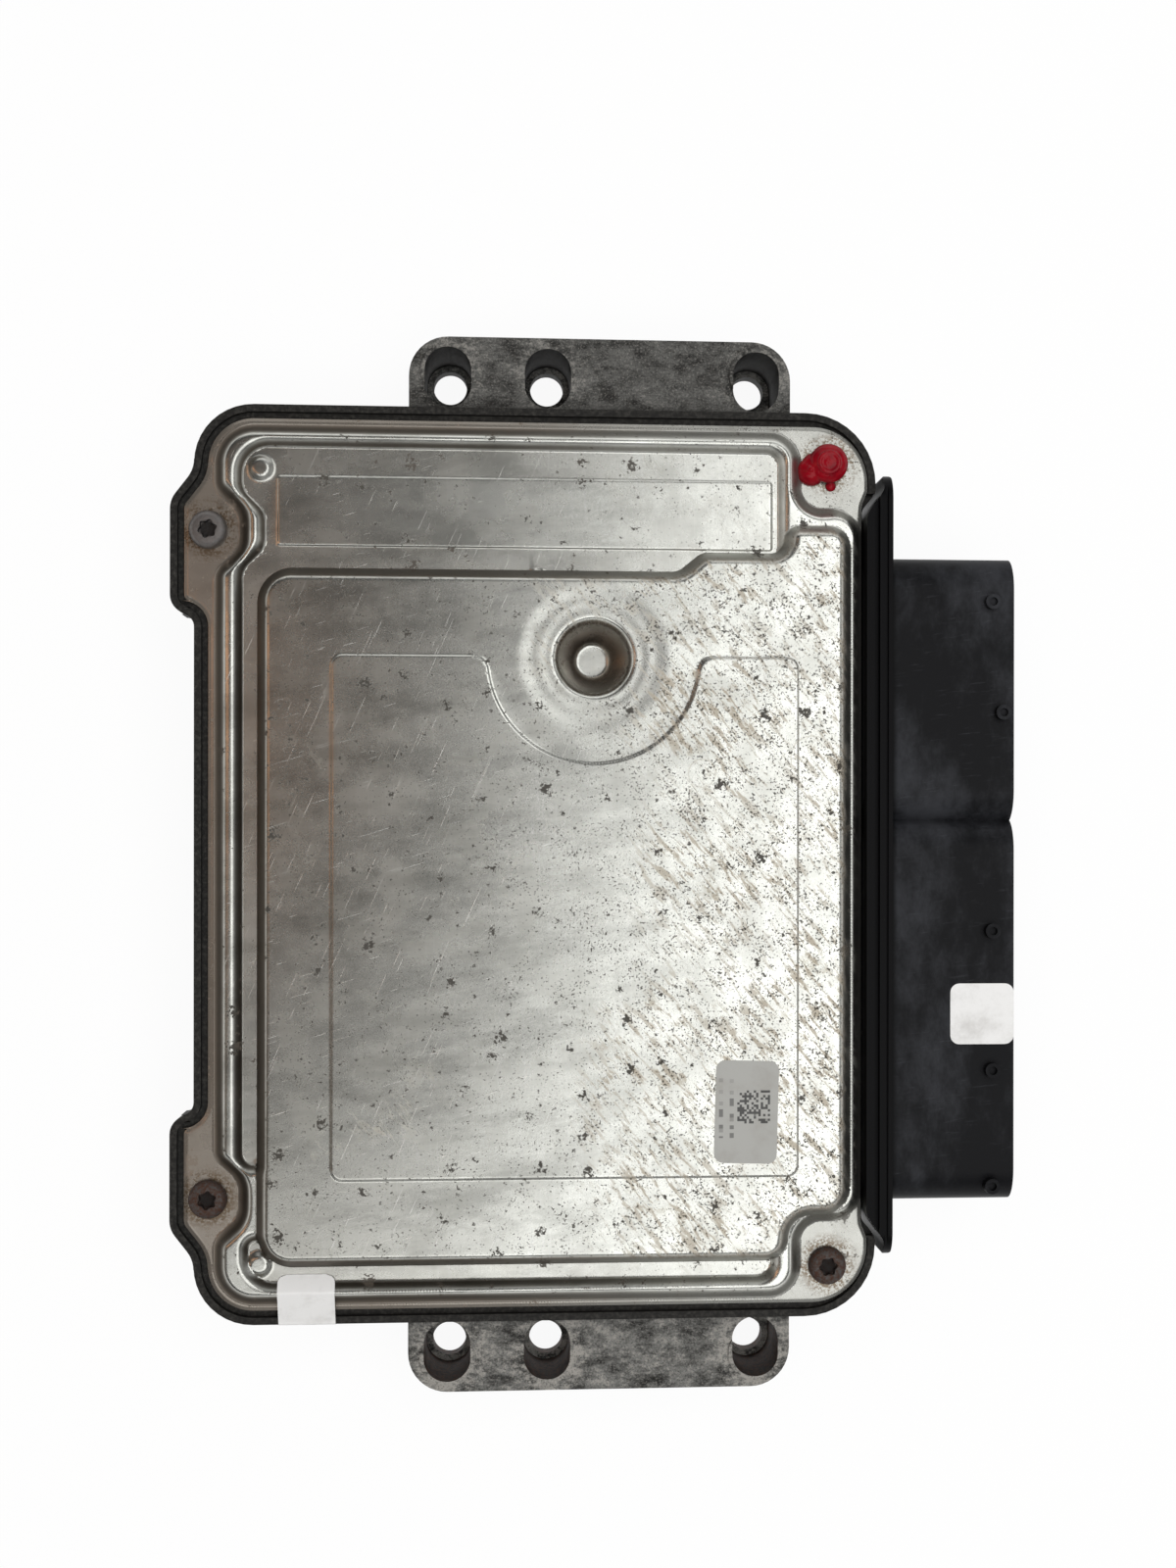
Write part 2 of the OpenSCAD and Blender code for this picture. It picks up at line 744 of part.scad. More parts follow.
module cover_screws() {
  color([0.35, 0.3, 0.26])
    for (s = screws) translate([s.x, s.y, z_flange]) pan_screw(shank_d, shank_l, head_d, head_h);
}

// Lacquer over one corner screw: a cap on the head and a lobe that ran down beside it
module tamper_seal() {
  s = screws[3];
  lobe = [-2.9, -2.6];
  color([0.6, 0.05, 0.1])
    difference() {
      union() {
        translate([s.x, s.y, z_flange + head_h - 0.4]) cylinder(1.1, r1 = 3.5, r2 = 2.6);
        translate([s.x + lobe.x, s.y + lobe.y, z_flange]) cylinder(head_h + 0.3, r1 = 2.1, r2 = 1.5);
      }
      translate([s.x, s.y, z_flange - 1]) cylinder(1 + head_h * 0.6, d = head_d);
      translate([s.x, s.y, 0]) translate([0, 0, z_flange]) pan_screw(shank_d, 2, head_d, head_h);
    }
}

// Sticker laid from the lower pocket over the cover's edge and down the case's side
module edge_label() {
  clear = 0.06;
  y_end = -y_case - clear;
  path = [
    [9.9 - y_case, z_shoulder + clear],
    [4.8 - y_case, z_shoulder + clear],
    [lip_w - y_case, case_h + lip_h + clear],
    [y_end, case_h + lip_h + clear],
    [y_end, case_h - rim_h + 0.6]
  ];
  back = [
    [y_end - label_t, case_h - rim_h + 0.6],
    [y_end - label_t, case_h + lip_h + clear + label_t],
    [lip_w - y_case, case_h + lip_h + clear + label_t],
    [4.8 - y_case, z_shoulder + clear + label_t],
    [9.9 - y_case, z_shoulder + clear + label_t]
  ];
  color([0.88, 0.88, 0.87])
    along_x(x_case + 16.3, x_case + 16.3 + edge_label_w) polygon(concat(path, back));
}

module header_label() {
  length = 12.7;
  color([0.88, 0.88, 0.87])
    translate([x_mouth - length / 2, large_y - 0.5, shroud_z + shroud_h])
      linear_extrude(label_t) round_rect([length, header_label_w], 1.9);
}

module trace_label() {
  color([0.68, 0.68, 0.67])
    translate([x_wall - 23.8, -48.1, z_panel]) rotate(-1.5) linear_extrude(label_t) round_rect(trace_label_size, 1.6);
}

// A chip with a moulded body on a stepped foot of leads
module chip(size) {
  lead = 1.2;
  translate([0, 0, board_top]) {
    translate([-size.x / 2, -size.y / 2, 0.1]) cube([size.x, size.y, size.z]);
    translate([-size.x / 2 - lead, -size.y / 2 + lead, 0]) cube([size.x + 2 * lead, size.y - 2 * lead, 0.4]);
    translate([-size.x / 2 + lead, -size.y / 2 - lead, 0]) cube([size.x - 2 * lead, size.y + 2 * lead, 0.4]);
  }
}

// Middle of the board, from which the parts on it are placed
board_mid = [(x_inside[0] + x_board) / 2, 0];

module microcontroller() {
  color([0.12, 0.12, 0.13]) translate([board_mid.x - 14, 0]) chip([24, 24, 1.8]);
}

module flash_memory() {
  color([0.12, 0.12, 0.13]) translate([board_mid.x - 14, 25]) chip([14, 10, 1.2]);
}

module driver_chips() {
  color([0.14, 0.14, 0.15])
    for (i = [0:4]) translate([board_mid.x + 20, -64 + 20 * i]) chip([14, 14, 2.4]);
}

// Power transistors in a row over the thermal pads, each a body on a wider metal tab
module power_transistors() {
  color([0.14, 0.14, 0.15])
    for (i = [0:6]) translate([x_case + 22, -45 + 15 * i, board_top]) {
      translate([-5, -5, 0]) cube([12, 10, 1.2]);
      translate([-5, -5, 1.2]) cube([9, 10, 3.2]);
    }
}

module storage_capacitors() {
  color([0.3, 0.3, 0.32])
    for (i = [0:2]) translate([board_mid.x - 26 + 19 * i, y_case - 22, board_top]) {
      cylinder(1.4, d = 15.4);
      translate([0, 0, 1.4]) cylinder(14.6, d = 16);
    }
}

module boost_choke() {
  color([0.32, 0.32, 0.33]) translate([board_mid.x - 15, -46, board_top]) {
    linear_extrude(3) round_rect([22, 22], 3);
    translate([0, 0, 3]) cylinder(6, d = 17);
    translate([0, 0, 9]) linear_extrude(2) round_rect([22, 22], 3);
  }
}

module quartz() {
  color([0.75, 0.75, 0.76])
    translate([board_mid.x - 14, -20, board_top]) linear_extrude(3.4) round_rect([11, 4.6], 2.2);
}

module pressure_sensor() {
  color([0.2, 0.2, 0.21])
    translate([board_mid.x + 40, y_case - 24]) difference() {
      chip([7, 7, 2.8]);
      translate([0, 0, board_top + 1.5]) cylinder(4, d = 2);
    }
}

module ceramic_capacitors() {
  color([0.7, 0.6, 0.45])
    for (i = [0:17], j = [0, 1])
      translate([board_mid.x + 33 + 4.6 * j, -60 + 6 * i, board_top]) cube([3.2, 1.6, 1.4]);
}

module thermal_pads() {
  color([0.55, 0.6, 0.65])
    for (i = [0:6]) translate([x_case + 18, -49 + 15 * i, floor_t]) cube([10, 8, board_lift]);
}

module vent_membrane() {
  color([0.85, 0.85, 0.85])
    translate([vent_pos.x, vent_pos.y, vent_depth - 0.4]) cylinder(0.4, r = vent_r - fit_gap);
}

base_housing();
cover();
connector_header();
cover_seal();
header_seal();
pin_carrier_small();
pin_carrier_large();
signal_pins_small();
signal_pins_large();
power_pins_large();
circuit_board();
board_screws();
cover_screws();
tamper_seal();
edge_label();
header_label();
trace_label();
microcontroller();
flash_memory();
driver_chips();
power_transistors();
storage_capacitors();
boost_choke();
quartz();
pressure_sensor();
ceramic_capacitors();
thermal_pads();
vent_membrane();
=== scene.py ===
"""Looks of an engine control unit: pressed cover, cast case, socket header, screws, lacquer and labels."""
import math

import bmesh
import bpy
import numpy as np
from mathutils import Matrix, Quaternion, Vector, geometry


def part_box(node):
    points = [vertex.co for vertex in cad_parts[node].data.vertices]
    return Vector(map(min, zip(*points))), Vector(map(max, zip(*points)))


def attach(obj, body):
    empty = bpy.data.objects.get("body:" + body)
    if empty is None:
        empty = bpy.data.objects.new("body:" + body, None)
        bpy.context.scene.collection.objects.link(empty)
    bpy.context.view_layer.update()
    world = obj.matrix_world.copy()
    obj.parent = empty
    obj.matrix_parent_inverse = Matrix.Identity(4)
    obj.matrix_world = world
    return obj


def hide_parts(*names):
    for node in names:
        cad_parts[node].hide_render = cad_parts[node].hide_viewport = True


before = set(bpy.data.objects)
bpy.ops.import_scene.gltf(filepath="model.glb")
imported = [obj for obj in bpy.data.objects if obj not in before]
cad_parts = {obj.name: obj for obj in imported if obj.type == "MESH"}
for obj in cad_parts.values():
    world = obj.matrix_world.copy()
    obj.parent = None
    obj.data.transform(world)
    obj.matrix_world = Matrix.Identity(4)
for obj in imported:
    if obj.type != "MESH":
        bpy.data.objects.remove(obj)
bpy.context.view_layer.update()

bl_info = {
    "name": "Engine control unit",
    "version": (1, 0, 0),
    "blender": (4, 5, 0),
    "location": "3D View > Sidebar > Control unit",
    "description": "Builds the pressed cover, the small pieces, the finishes and the stage round the packed part",
    "category": "Object",
}

BODY = "root"
MM = 0.001


def box_mm(node):
    """Lowest and highest corner of a node of the frame, in millimetres."""
    low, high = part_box(node)
    return low / MM, high / MM


# Places that the frame gives, in millimetres
CASE_LOW, CASE_HIGH = box_mm("base_housing")
COVER_LOW, COVER_HIGH = box_mm("cover")
EAR_OUT = 4.6
LOBE_OUT = 2.5
FLANGE_OUT = 5.2
COVER_INSET = 2.7
X_CASE = CASE_LOW.x + EAR_OUT
X_WALL = CASE_HIGH.x - LOBE_OUT
X_FLANGE = X_WALL + FLANGE_OUT
Y_CASE = COVER_HIGH.y + COVER_INSET
LIP_TOP = CASE_HIGH.z


# Properties

def length(name, description, default):
    """A length in metres, shown in the scene's units."""
    return bpy.props.FloatProperty(
        name=name, description=description, default=default, min=0.0, max=1.0, unit="LENGTH", precision=5
    )


def colour(name, description, default):
    """A colour without alpha."""
    return bpy.props.FloatVectorProperty(
        name=name, description=description, default=default, size=3, min=0.0, max=1.0, subtype="COLOR"
    )


class UnitSizes(bpy.types.PropertyGroup):
    """Sizes of the pieces that are built here."""

    sheet: length("Cover sheet", "Thickness of the pressed sheet", 0.0015)
    shoulder: length("Shoulder height", "Height of the shoulder over the cover's flange", 0.003)
    pocket: length("Pocket depth", "Depth of the pockets below the shoulder", 0.0018)
    field: length("Field height", "Height of the main field over the pockets", 0.005)
    panel: length("Panel height", "Height of the flat panels over their fields", 0.00025)
    funnel: length("Funnel depth", "Depth of the funnel below the main field", 0.0097)
    fine_step: length("Fine mesh step", "Distance of the cover's mesh points along its pressed walls", 0.0006)
    coarse_step: length("Coarse mesh step", "Distance of the cover's mesh points on its flats", 0.0025)
    head: length("Screw head", "Diameter of a cover screw's head", 0.0074)
    head_height: length("Screw head height", "Height of a cover screw's head", 0.0025)
    recess: length("Screw recess", "Diameter of a screw's six-lobed recess", 0.0037)
    label: length("Label thickness", "Thickness of the stickers", 0.0001)
    edge_round: length("Moulded edge", "Rounding of the case's and the header's edges", 0.0005)


class UnitColours(bpy.types.PropertyGroup):
    """Colours of the main finishes."""

    metal: colour("Cover metal", "Clean sheet of the cover", (0.83, 0.84, 0.785))
    stain: colour("Cover stain", "Dried stains on the cover", (0.36, 0.3, 0.215))
    # Painted shade mixed with dirt for the cover's flange, on its left side; it is not put on the walls
    tarnish: colour("Wall tarnish", "Dirt on the cover's pressed walls", (0.23, 0.188, 0.15))
    pit: colour("Cover pits", "Pits and specks in the cover", (0.03, 0.025, 0.018))
    casting: colour("Casting", "Dark skin of the cast case", (0.014, 0.0135, 0.0125))
    oxide: colour("Oxide", "Pale oxide on the lugs", (0.36, 0.345, 0.315))
    rust: colour("Rust", "Rust on screws and in the bolt holes", (0.095, 0.036, 0.018))
    steel: colour("Screw steel", "Bare steel of the screws", (0.2, 0.195, 0.19))
    plastic: colour("Header plastic", "Black plastic of the header", (0.0028, 0.0028, 0.0032))
    dust: colour("Dust", "Dusty scuffs on the header", (0.11, 0.115, 0.13))
    lacquer: colour("Lacquer", "Red lacquer over a screw", (0.25, 0.003, 0.009))
    paper: colour("White label", "Plain white stickers", (0.78, 0.78, 0.77))
    foil: colour("Grey label", "Grey sticker on the cover", (0.36, 0.36, 0.34))
    floor: colour("Floor", "Floor under the part", (0.9, 0.9, 0.9))


# Shader building

class Wire:
    """A shader value: an expression on it adds the Math nodes that work it out."""

    def __init__(self, finish, socket):
        self.finish = finish
        self.socket = socket

    def math(self, operation, *values):
        """The result of a Math node on some values."""
        return self.finish.add("ShaderNodeMath", {"operation": operation}, dict(enumerate(values)))

    def __add__(self, other):
        return self.math("ADD", self, other)

    def __radd__(self, other):
        return self.math("ADD", other, self)

    def __sub__(self, other):
        return self.math("SUBTRACT", self, other)

    def __rsub__(self, other):
        return self.math("SUBTRACT", other, self)

    def __mul__(self, other):
        return self.math("MULTIPLY", self, other)

    def __rmul__(self, other):
        return self.math("MULTIPLY", other, self)

    def __pow__(self, other):
        return self.math("POWER", self, other)

    def __abs__(self):
        return self.math("ABSOLUTE", self)

    def least(self, other):
        """The smaller of two values."""
        return self.math("MINIMUM", self, other)

    def most(self, other):
        """The larger of two values."""
        return self.math("MAXIMUM", self, other)


class Finish:
    """A procedural material that is measured in millimetres of the part's own frame."""

    def __init__(self, name):
        self.material = bpy.data.materials.new(name)
        self.material.use_nodes = True
        self.tree = self.material.node_tree
        self.tree.nodes.clear()
        surface = self.add("ShaderNodeBsdfPrincipled")
        self.shader = surface.socket.node
        self.output = self.tree.nodes.new("ShaderNodeOutputMaterial")
        self.put(self.output.inputs[0], surface)
        place = self.add("ShaderNodeTexCoord", output="Object")
        self.mm = self.add("ShaderNodeVectorMath", {"operation": "SCALE"}, {0: place, "Scale": 1 / MM})

    def put(self, socket, value):
        """Links a wire to a socket, or sets the socket's own value."""
        if isinstance(value, Wire):
            self.tree.links.new(value.socket, socket)
        elif socket.type == "RGBA":
            socket.default_value = (*value[:3], 1.0)
        else:
            socket.default_value = value

    def add(self, kind, settings=None, inputs=None, output=0):
        """Adds a node: its settings first, then the values or links of its sockets."""
        node = self.tree.nodes.new(kind)
        for key, value in (settings or {}).items():
            setattr(node, key, value)
        for key, value in (inputs or {}).items():
            self.put(node.inputs[key], value)
        return Wire(self, node.outputs[output])

    def axis(self, name):
        """One coordinate of the part's frame, in millimetres."""
        return self.add("ShaderNodeSeparateXYZ", None, {0: self.mm}, name)

    def tilt(self):
        """How steep the surface is: 0 where it faces up or down, 1 where it is upright."""
        normal = self.add("ShaderNodeNewGeometry", None, None, "Normal")
        return 1 - abs(self.add("ShaderNodeSeparateXYZ", None, {0: normal}, "Z"))

    def grain(self, size, angle=0.0, shift=(0.0, 0.0, 0.0)):
        """Coordinates that are 1 apart for each size of the grain, turned about Z."""
        spread = size if isinstance(size, tuple) else (size, size, size)
        return self.add(
            "ShaderNodeMapping",
            {"vector_type": "TEXTURE"},
            {"Vector": self.mm, "Location": shift, "Rotation": (0.0, 0.0, angle), "Scale": spread},
        )

    def noise(self, size, detail=3.0, rough=0.55, angle=0.0, shift=(0.0, 0.0, 0.0), bend=0.0):
        """Smooth noise from about 0.2 to 0.8."""
        inputs = {"Vector": self.grain(size, angle, shift), "Scale": 1.0, "Detail": detail, "Roughness": rough}
        return self.add("ShaderNodeTexNoise", None, {**inputs, "Distortion": bend})

    def spots(self, size, reach, ragged, shift=(0.0, 0.0, 0.0), hollow=0.0):
        """Ragged spots of uneven size, one in some of the cells, or only their rims of some width."""
        vector = self.grain(size, shift=shift)
        flat = {"voronoi_dimensions": "2D"}
        distance = self.add("ShaderNodeTexVoronoi", flat, {"Vector": vector, "Scale": 1.0})
        shade = self.add("ShaderNodeTexVoronoi", flat, {"Vector": vector, "Scale": 1.0}, "Color")
        chance = self.add("ShaderNodeSeparateColor", None, {0: shade}, "Red")
        edge = (self.noise(size * 0.09, detail=4.0, rough=0.7, shift=shift) - 0.5) * ragged
        inward = chance ** 3.0 * reach - distance + edge
        if hollow:
            inward = hollow - abs(inward - hollow)
        return self.step(inward, 0.0, 0.03)

    def step(self, value, low, high):
        """A smooth step from 0 at low to 1 at high."""
        inputs = {"Value": value, "From Min": low, "From Max": high, "To Min": 0.0, "To Max": 1.0}
        return self.add("ShaderNodeMapRange", {"interpolation_type": "SMOOTHSTEP"}, inputs)

    def mix(self, factor, first, second):
        """A colour between two others."""
        return self.add("ShaderNodeMix", {"data_type": "RGBA"}, {0: factor, 6: first, 7: second}, 2)

    def away_from(self, places):
        """Distance to the nearest of some places, seen from above."""
        nearest = None
        for px, py in places:
            across, along = self.axis("X") - px, self.axis("Y") - py
            distance = (across * across + along * along) ** 0.5
            nearest = distance if nearest is None else nearest.least(distance)
        return nearest

    def cells(self, size, shift):
        """A random value from 0 to 1 for each cell of a grid."""
        square = self.add("ShaderNodeVectorMath", {"operation": "FLOOR"}, {0: self.grain(size, shift=shift)})
        return self.add("ShaderNodeTexWhiteNoise", {"noise_dimensions": "3D"}, {"Vector": square}, "Value")

    def within(self, x, y, reach_x, reach_y, soft):
        """A soft rectangle about a place: 1 inside and 0 outside."""
        across = abs(self.axis("X") - x) - reach_x
        along = abs(self.axis("Y") - y) - reach_y
        return 1 - self.step(across.most(along), -soft, soft)

    def bump(self, height, distance_mm, strength=1.0):
        """Small relief of the surface, from a height of 0 to 1."""
        inputs = {"Height": height, "Distance": distance_mm * MM, "Strength": strength}
        self.set(Normal=self.add("ShaderNodeBump", None, inputs))

    def set(self, **values):
        """Sets the shader's sockets, written with _ for a space."""
        for key, value in values.items():
            self.put(self.shader.inputs[key.replace("_", " ")], value)


# Tones of the cover's wear, and of the shade painted on it
DULL_METAL = (0.7, 0.705, 0.655)
RUBBED_METAL = (0.9, 0.9, 0.88)
SCRATCHED_METAL = (0.95, 0.95, 0.94)
HAZE = (0.32, 0.325, 0.3)
LEFT_SHADE = (0.24, 0.222, 0.19)
DRY_CRUST = (0.36, 0.32, 0.24)
WALL_SHADE_AND_DIRT = (0.1, 0.084, 0.066)
CREASE_SHADE_AND_DIRT = (0.22, 0.19, 0.15)
FUNNEL_SHADE_AND_DIRT = (0.22, 0.155, 0.115)
FUNNEL_FOOT_SHADE = (0.03, 0.022, 0.018)
PALE_FLANGE_SHADE_AND_DIRT = (0.23, 0.225, 0.205)
SCREW_LEAK = (0.13, 0.085, 0.045)


def cover_finish(colours, flange):
    """Satin pressed aluminium with flecks, stains and scratches, with painted shade mixed with dirt on its walls,
    creases, funnel and flange, and painted shade on its left side.
    """
    finish = Finish("pressed_cover")
    x, z, tilt = finish.axis("X"), finish.axis("Z"), finish.tilt()
    right_side = finish.step(x, -30.0, 35.0)
    left_side = 1 - finish.step(x, -74.0, 12.0)
    on_field = finish.step(z, flange + 4.2, flange + 5.8)
    off_axis = finish.away_from([FUNNEL])
    off_funnel = finish.step(off_axis, 7.0, 9.5)
    cloud = finish.noise(26.0, detail=4.0)
    patch = finish.noise(9.0, detail=5.0, rough=0.65)
    clump = finish.noise(5.0, detail=5.0, rough=0.7, shift=(11.0, 3.0, 0.0))
    fine = finish.noise(0.45, detail=3.0, rough=0.6)

    # Bare sheet, hazier on the left, with painted shade darkening its left side
    sheet = finish.mix(finish.step(patch, 0.3, 0.75), colours.metal, DULL_METAL)
    streak = finish.noise((0.5, 22.0, 5.0), detail=4.0, angle=0.03)
    sheet = finish.mix(finish.step(streak, 0.45, 0.8) * 0.35, sheet, RUBBED_METAL)
    haze = finish.noise((20.0, 7.0, 10.0), detail=8.0, rough=0.68, angle=0.1, shift=(2.0, 14.0, 0.0))
    sheet = finish.mix(finish.step(haze, 0.4, 0.68) * (0.58 - right_side * 0.43), sheet, HAZE)
    # Painted shade: the left side is darkened, the raised field there most
    sheet = finish.mix(left_side * (0.2 + on_field * 0.24), sheet, LEFT_SHADE)

    # Wiped stains, dried drops and crust on the right
    wipe = finish.noise((1.1, 6.5, 5.0), detail=6.0, rough=0.72, angle=math.radians(40), bend=0.5)
    wiped = finish.step(wipe + clump * 0.4, 0.71, 0.79) * finish.step(cloud + right_side * 0.4, 0.58, 0.92)
    rings = finish.spots(19.0, 0.24, 0.05, (4.0, 6.0, 0.0), hollow=0.014) * right_side
    stained = (wiped * 0.75).most(rings * 0.9) * (0.12 + on_field * 0.88)
    sheet = finish.mix(stained, sheet, colours.stain)
    crust = finish.noise(4.0, detail=7.0, rough=0.72)
    crusted = finish.step(crust, 0.55, 0.66) * finish.step(cloud + right_side * 0.35, 0.68, 0.98) * on_field
    sheet = finish.mix(crusted * 0.6, sheet, DRY_CRUST)

    # Scratches, mostly on the left, and pits
    scratch = finish.noise((0.2, 14.0, 3.0), detail=2.0, angle=math.radians(-24))
    hair = finish.noise((9.0, 0.16, 3.0), detail=2.0, angle=math.radians(17), shift=(3.0, 8.0, 0.0))
    scratched = finish.step(scratch, 0.69, 0.75).most(finish.step(hair, 0.71, 0.77)) * (1 - right_side * 0.8)
    sheet = finish.mix(scratched * 0.5, sheet, SCRATCHED_METAL)
    speck = finish.noise(0.42, detail=3.0, rough=0.6, shift=(5.0, 2.0, 0.0))
    speck = speck + clump * 0.4 + right_side * 0.06 + on_field * 0.07
    flecks = finish.spots(8.5, 0.14, 0.9, (7.0, 9.0, 0.0)).most(finish.spots(3.2, 0.1, 0.7, (2.0, 5.0, 0.0)))
    pitted = finish.step(speck, 0.9, 0.96).most(flecks)
    sheet = finish.mix(pitted * 0.95, sheet, colours.pit)

    # Painted shade mixed with dirt on the walls, at the creases, in the funnel and on the flange, and rust leaking
    # round the screws
    # Painted shade mixed with dirt: steep walls are darkened, least on the right
    wall = finish.step(tilt, 0.08, 0.4) * (0.95 - right_side * 0.5) * off_funnel
    sheet = finish.mix(wall, sheet, WALL_SHADE_AND_DIRT)
    # Painted crease shade mixed with dirt: gentle slopes on the right part of the field are darkened
    line = finish.step(tilt, 0.04, 0.18) * on_field * off_funnel * right_side
    sheet = finish.mix(line * 0.5, sheet, CREASE_SHADE_AND_DIRT)
    # Painted shade mixed with brown dirt on the funnel's walls, and painted shade near black towards its foot
    deep = (1 - finish.step(off_axis, 4.6, 8.3)) * finish.step(tilt, 0.1, 0.7)
    sheet = finish.mix(deep * 0.92, sheet, FUNNEL_SHADE_AND_DIRT)
    sheet = finish.mix(deep * (1 - finish.step(off_axis, 3.4, 6.2)) * 0.85, sheet, FUNNEL_FOOT_SHADE)
    # Painted shade mixed with dirt on the flange's low ground, darker on the left and paler on the right
    rim = (1 - finish.step(z, flange + 0.2, flange + 1.6)) * off_funnel
    flange_shade_and_dirt = rim * (0.8 - right_side * 0.25)
    sheet = finish.mix(flange_shade_and_dirt, sheet, finish.mix(right_side, colours.tarnish, PALE_FLANGE_SHADE_AND_DIRT))
    near_screw = 1 - finish.step(finish.away_from(SCREWS) + crust * 6.0, 7.4, 10.0)
    leak = near_screw * finish.step(fine + crust, 0.9, 1.1) * rim
    sheet = finish.mix(leak * 0.85, sheet, SCREW_LEAK)

    dull = finish.step(patch, 0.35, 0.7) * 0.06 + stained * 0.25 + pitted * 0.3 + wall * 0.3
    matt = (stained * 0.65).most(pitted * 0.8).most(flange_shade_and_dirt * 0.35)
    finish.set(Base_Color=sheet, Roughness=0.24 + dull, Metallic=1 - matt)
    finish.bump(fine * 0.3 + scratched * 0.3, 0.02)
    return finish.material


def case_finish(colours):
    """Dark, weathered casting: black skin, mottled lugs with pale oxide and rusty bolt holes."""
    finish = Finish("cast_case")
    y = finish.axis("Y")
    blotch = finish.noise((6.0, 3.5, 6.0), detail=8.0, rough=0.78)
    fine = finish.noise(0.9, detail=5.0, rough=0.7)
    grit = finish.noise(0.4, detail=4.0, rough=0.7, shift=(3.0, 1.0, 2.0))
    skin = finish.mix(finish.step(fine, 0.4, 0.75), colours.casting, (0.05, 0.048, 0.043))
    on_lug = finish.step(abs(y), 89.6, 91.5)
    worn = finish.step(blotch, 0.34, 0.6) * on_lug
    low_side = finish.step(y * -1.0, -20.0, 20.0)
    skin = finish.mix(worn * (0.6 + low_side * 0.4), skin, (0.185, 0.185, 0.174))
    holes = finish.away_from([(px, py) for px in BOLT_X for py in (-BOLT_Y, BOLT_Y)])
    near_hole = 1 - finish.step(holes, 4.5, 10.0)
    crust = finish.step(blotch * 0.6 + fine * 0.5 + near_hole * 0.09 + low_side * 0.05, 0.61, 0.74) * on_lug
    skin = finish.mix(crust * (0.55 + low_side * 0.3), skin, colours.oxide)
    skin = finish.mix(finish.step(grit, 0.54, 0.64) * on_lug * 0.4, skin, (0.34, 0.325, 0.3))
    skin = finish.mix((1 - finish.step(grit, 0.36, 0.45)) * on_lug * 0.7, skin, colours.casting)
    in_hole = (1 - finish.step(holes + fine * 2.0, 6.6, 8.6)) * finish.step(finish.tilt(), 0.4, 0.8)
    rusty = finish.mix(finish.step(fine, 0.4, 0.6) * low_side, (0.008, 0.007, 0.006), colours.rust)
    skin = finish.mix(in_hole * 0.9, skin, rusty)
    finish.set(Base_Color=skin, Roughness=0.5 + fine * 0.25, Metallic=0.3, Specular_IOR_Level=0.3)
    finish.bump(fine * 0.5 + blotch * 0.4 + grit * 0.2, 0.2)
    return finish.material


def header_finish(colours):
    """Black satin plastic, with dusty scuffs on its sockets."""
    finish = Finish("header_plastic")
    dust = finish.noise((14.0, 26.0, 14.0), detail=6.0, rough=0.7)
    scuff = finish.noise((5.0, 0.6, 3.0), detail=4.0, angle=0.12)
    fine = finish.noise(0.5, detail=3.0)
    on_socket = finish.step(finish.axis("X"), X_FLANGE, X_FLANGE + 1.5)
    dusty = (finish.step(dust, 0.4, 0.72) * 0.25 + finish.step(scuff, 0.6, 0.76) * 0.12 + 0.04) * on_socket
    finish.set(
        Base_Color=finish.mix(dusty, colours.plastic, colours.dust),
        Roughness=0.36 + dusty * 0.6,
        Specular_IOR_Level=0.07,
    )
    finish.bump(fine, 0.03, 0.6)
    return finish.material


def screw_finish(colours):
    """Steel that is grey on some screws and rusted through on others."""
    finish = Finish("screw_steel")
    fine = finish.noise(0.6, detail=5.0, rough=0.7)
    x, y = finish.axis("X"), finish.axis("Y")
    sound = finish.step(y - x * 0.4, 20.0, 70.0)
    rusted = finish.step(fine, 0.3, 0.62) * (1 - sound * 0.8)
    tone = finish.mix(rusted, colours.steel, colours.rust)
    tone = finish.mix((1 - sound) * 0.5, tone, (0.012, 0.009, 0.007))
    # Painted shade: the six-lobed recess of each head is darkened nearly black
    recess = 1 - finish.step(finish.away_from(SCREWS), 1.3, 1.9)
    tone = finish.mix(recess * 0.85, tone, (0.006, 0.005, 0.005))
    finish.set(Base_Color=tone, Roughness=0.4 + rusted * 0.4, Metallic=0.9 - rusted * 0.7)
    finish.bump(fine, 0.12)
    return finish.material


def lacquer_finish(colours):
    """Thick glossy lacquer."""
    finish = Finish("red_lacquer")
    pool = finish.noise(2.0, detail=3.0)
    finish.set(
        Base_Color=finish.mix(finish.step(pool, 0.3, 0.75), colours.lacquer, (0.15, 0.003, 0.008)),
        Roughness=0.06 + pool * 0.12,
        Specular_IOR_Level=0.14,
        Coat_Weight=0.08,
    )
    finish.bump(finish.noise(1.6, detail=2.0), 0.3, 0.5)
    return finish.material


def paper_finish(name, tone, dirt):
    """A sticker's paper: a little mottled, greyer where it was handled."""
    finish = Finish(name)
    cloud = finish.noise(5.0, detail=5.0, rough=0.65)
    fibre = finish.noise(0.35, detail=3.0)
    soiled = finish.step(cloud, 0.45, 0.8) * 0.6 + finish.step(fibre, 0.55, 0.8) * 0.12
    finish.set(Base_Color=finish.mix(soiled, tone, dirt), Roughness=0.5 + soiled * 0.3)
    finish.bump(fibre, 0.02, 0.5)
    return finish


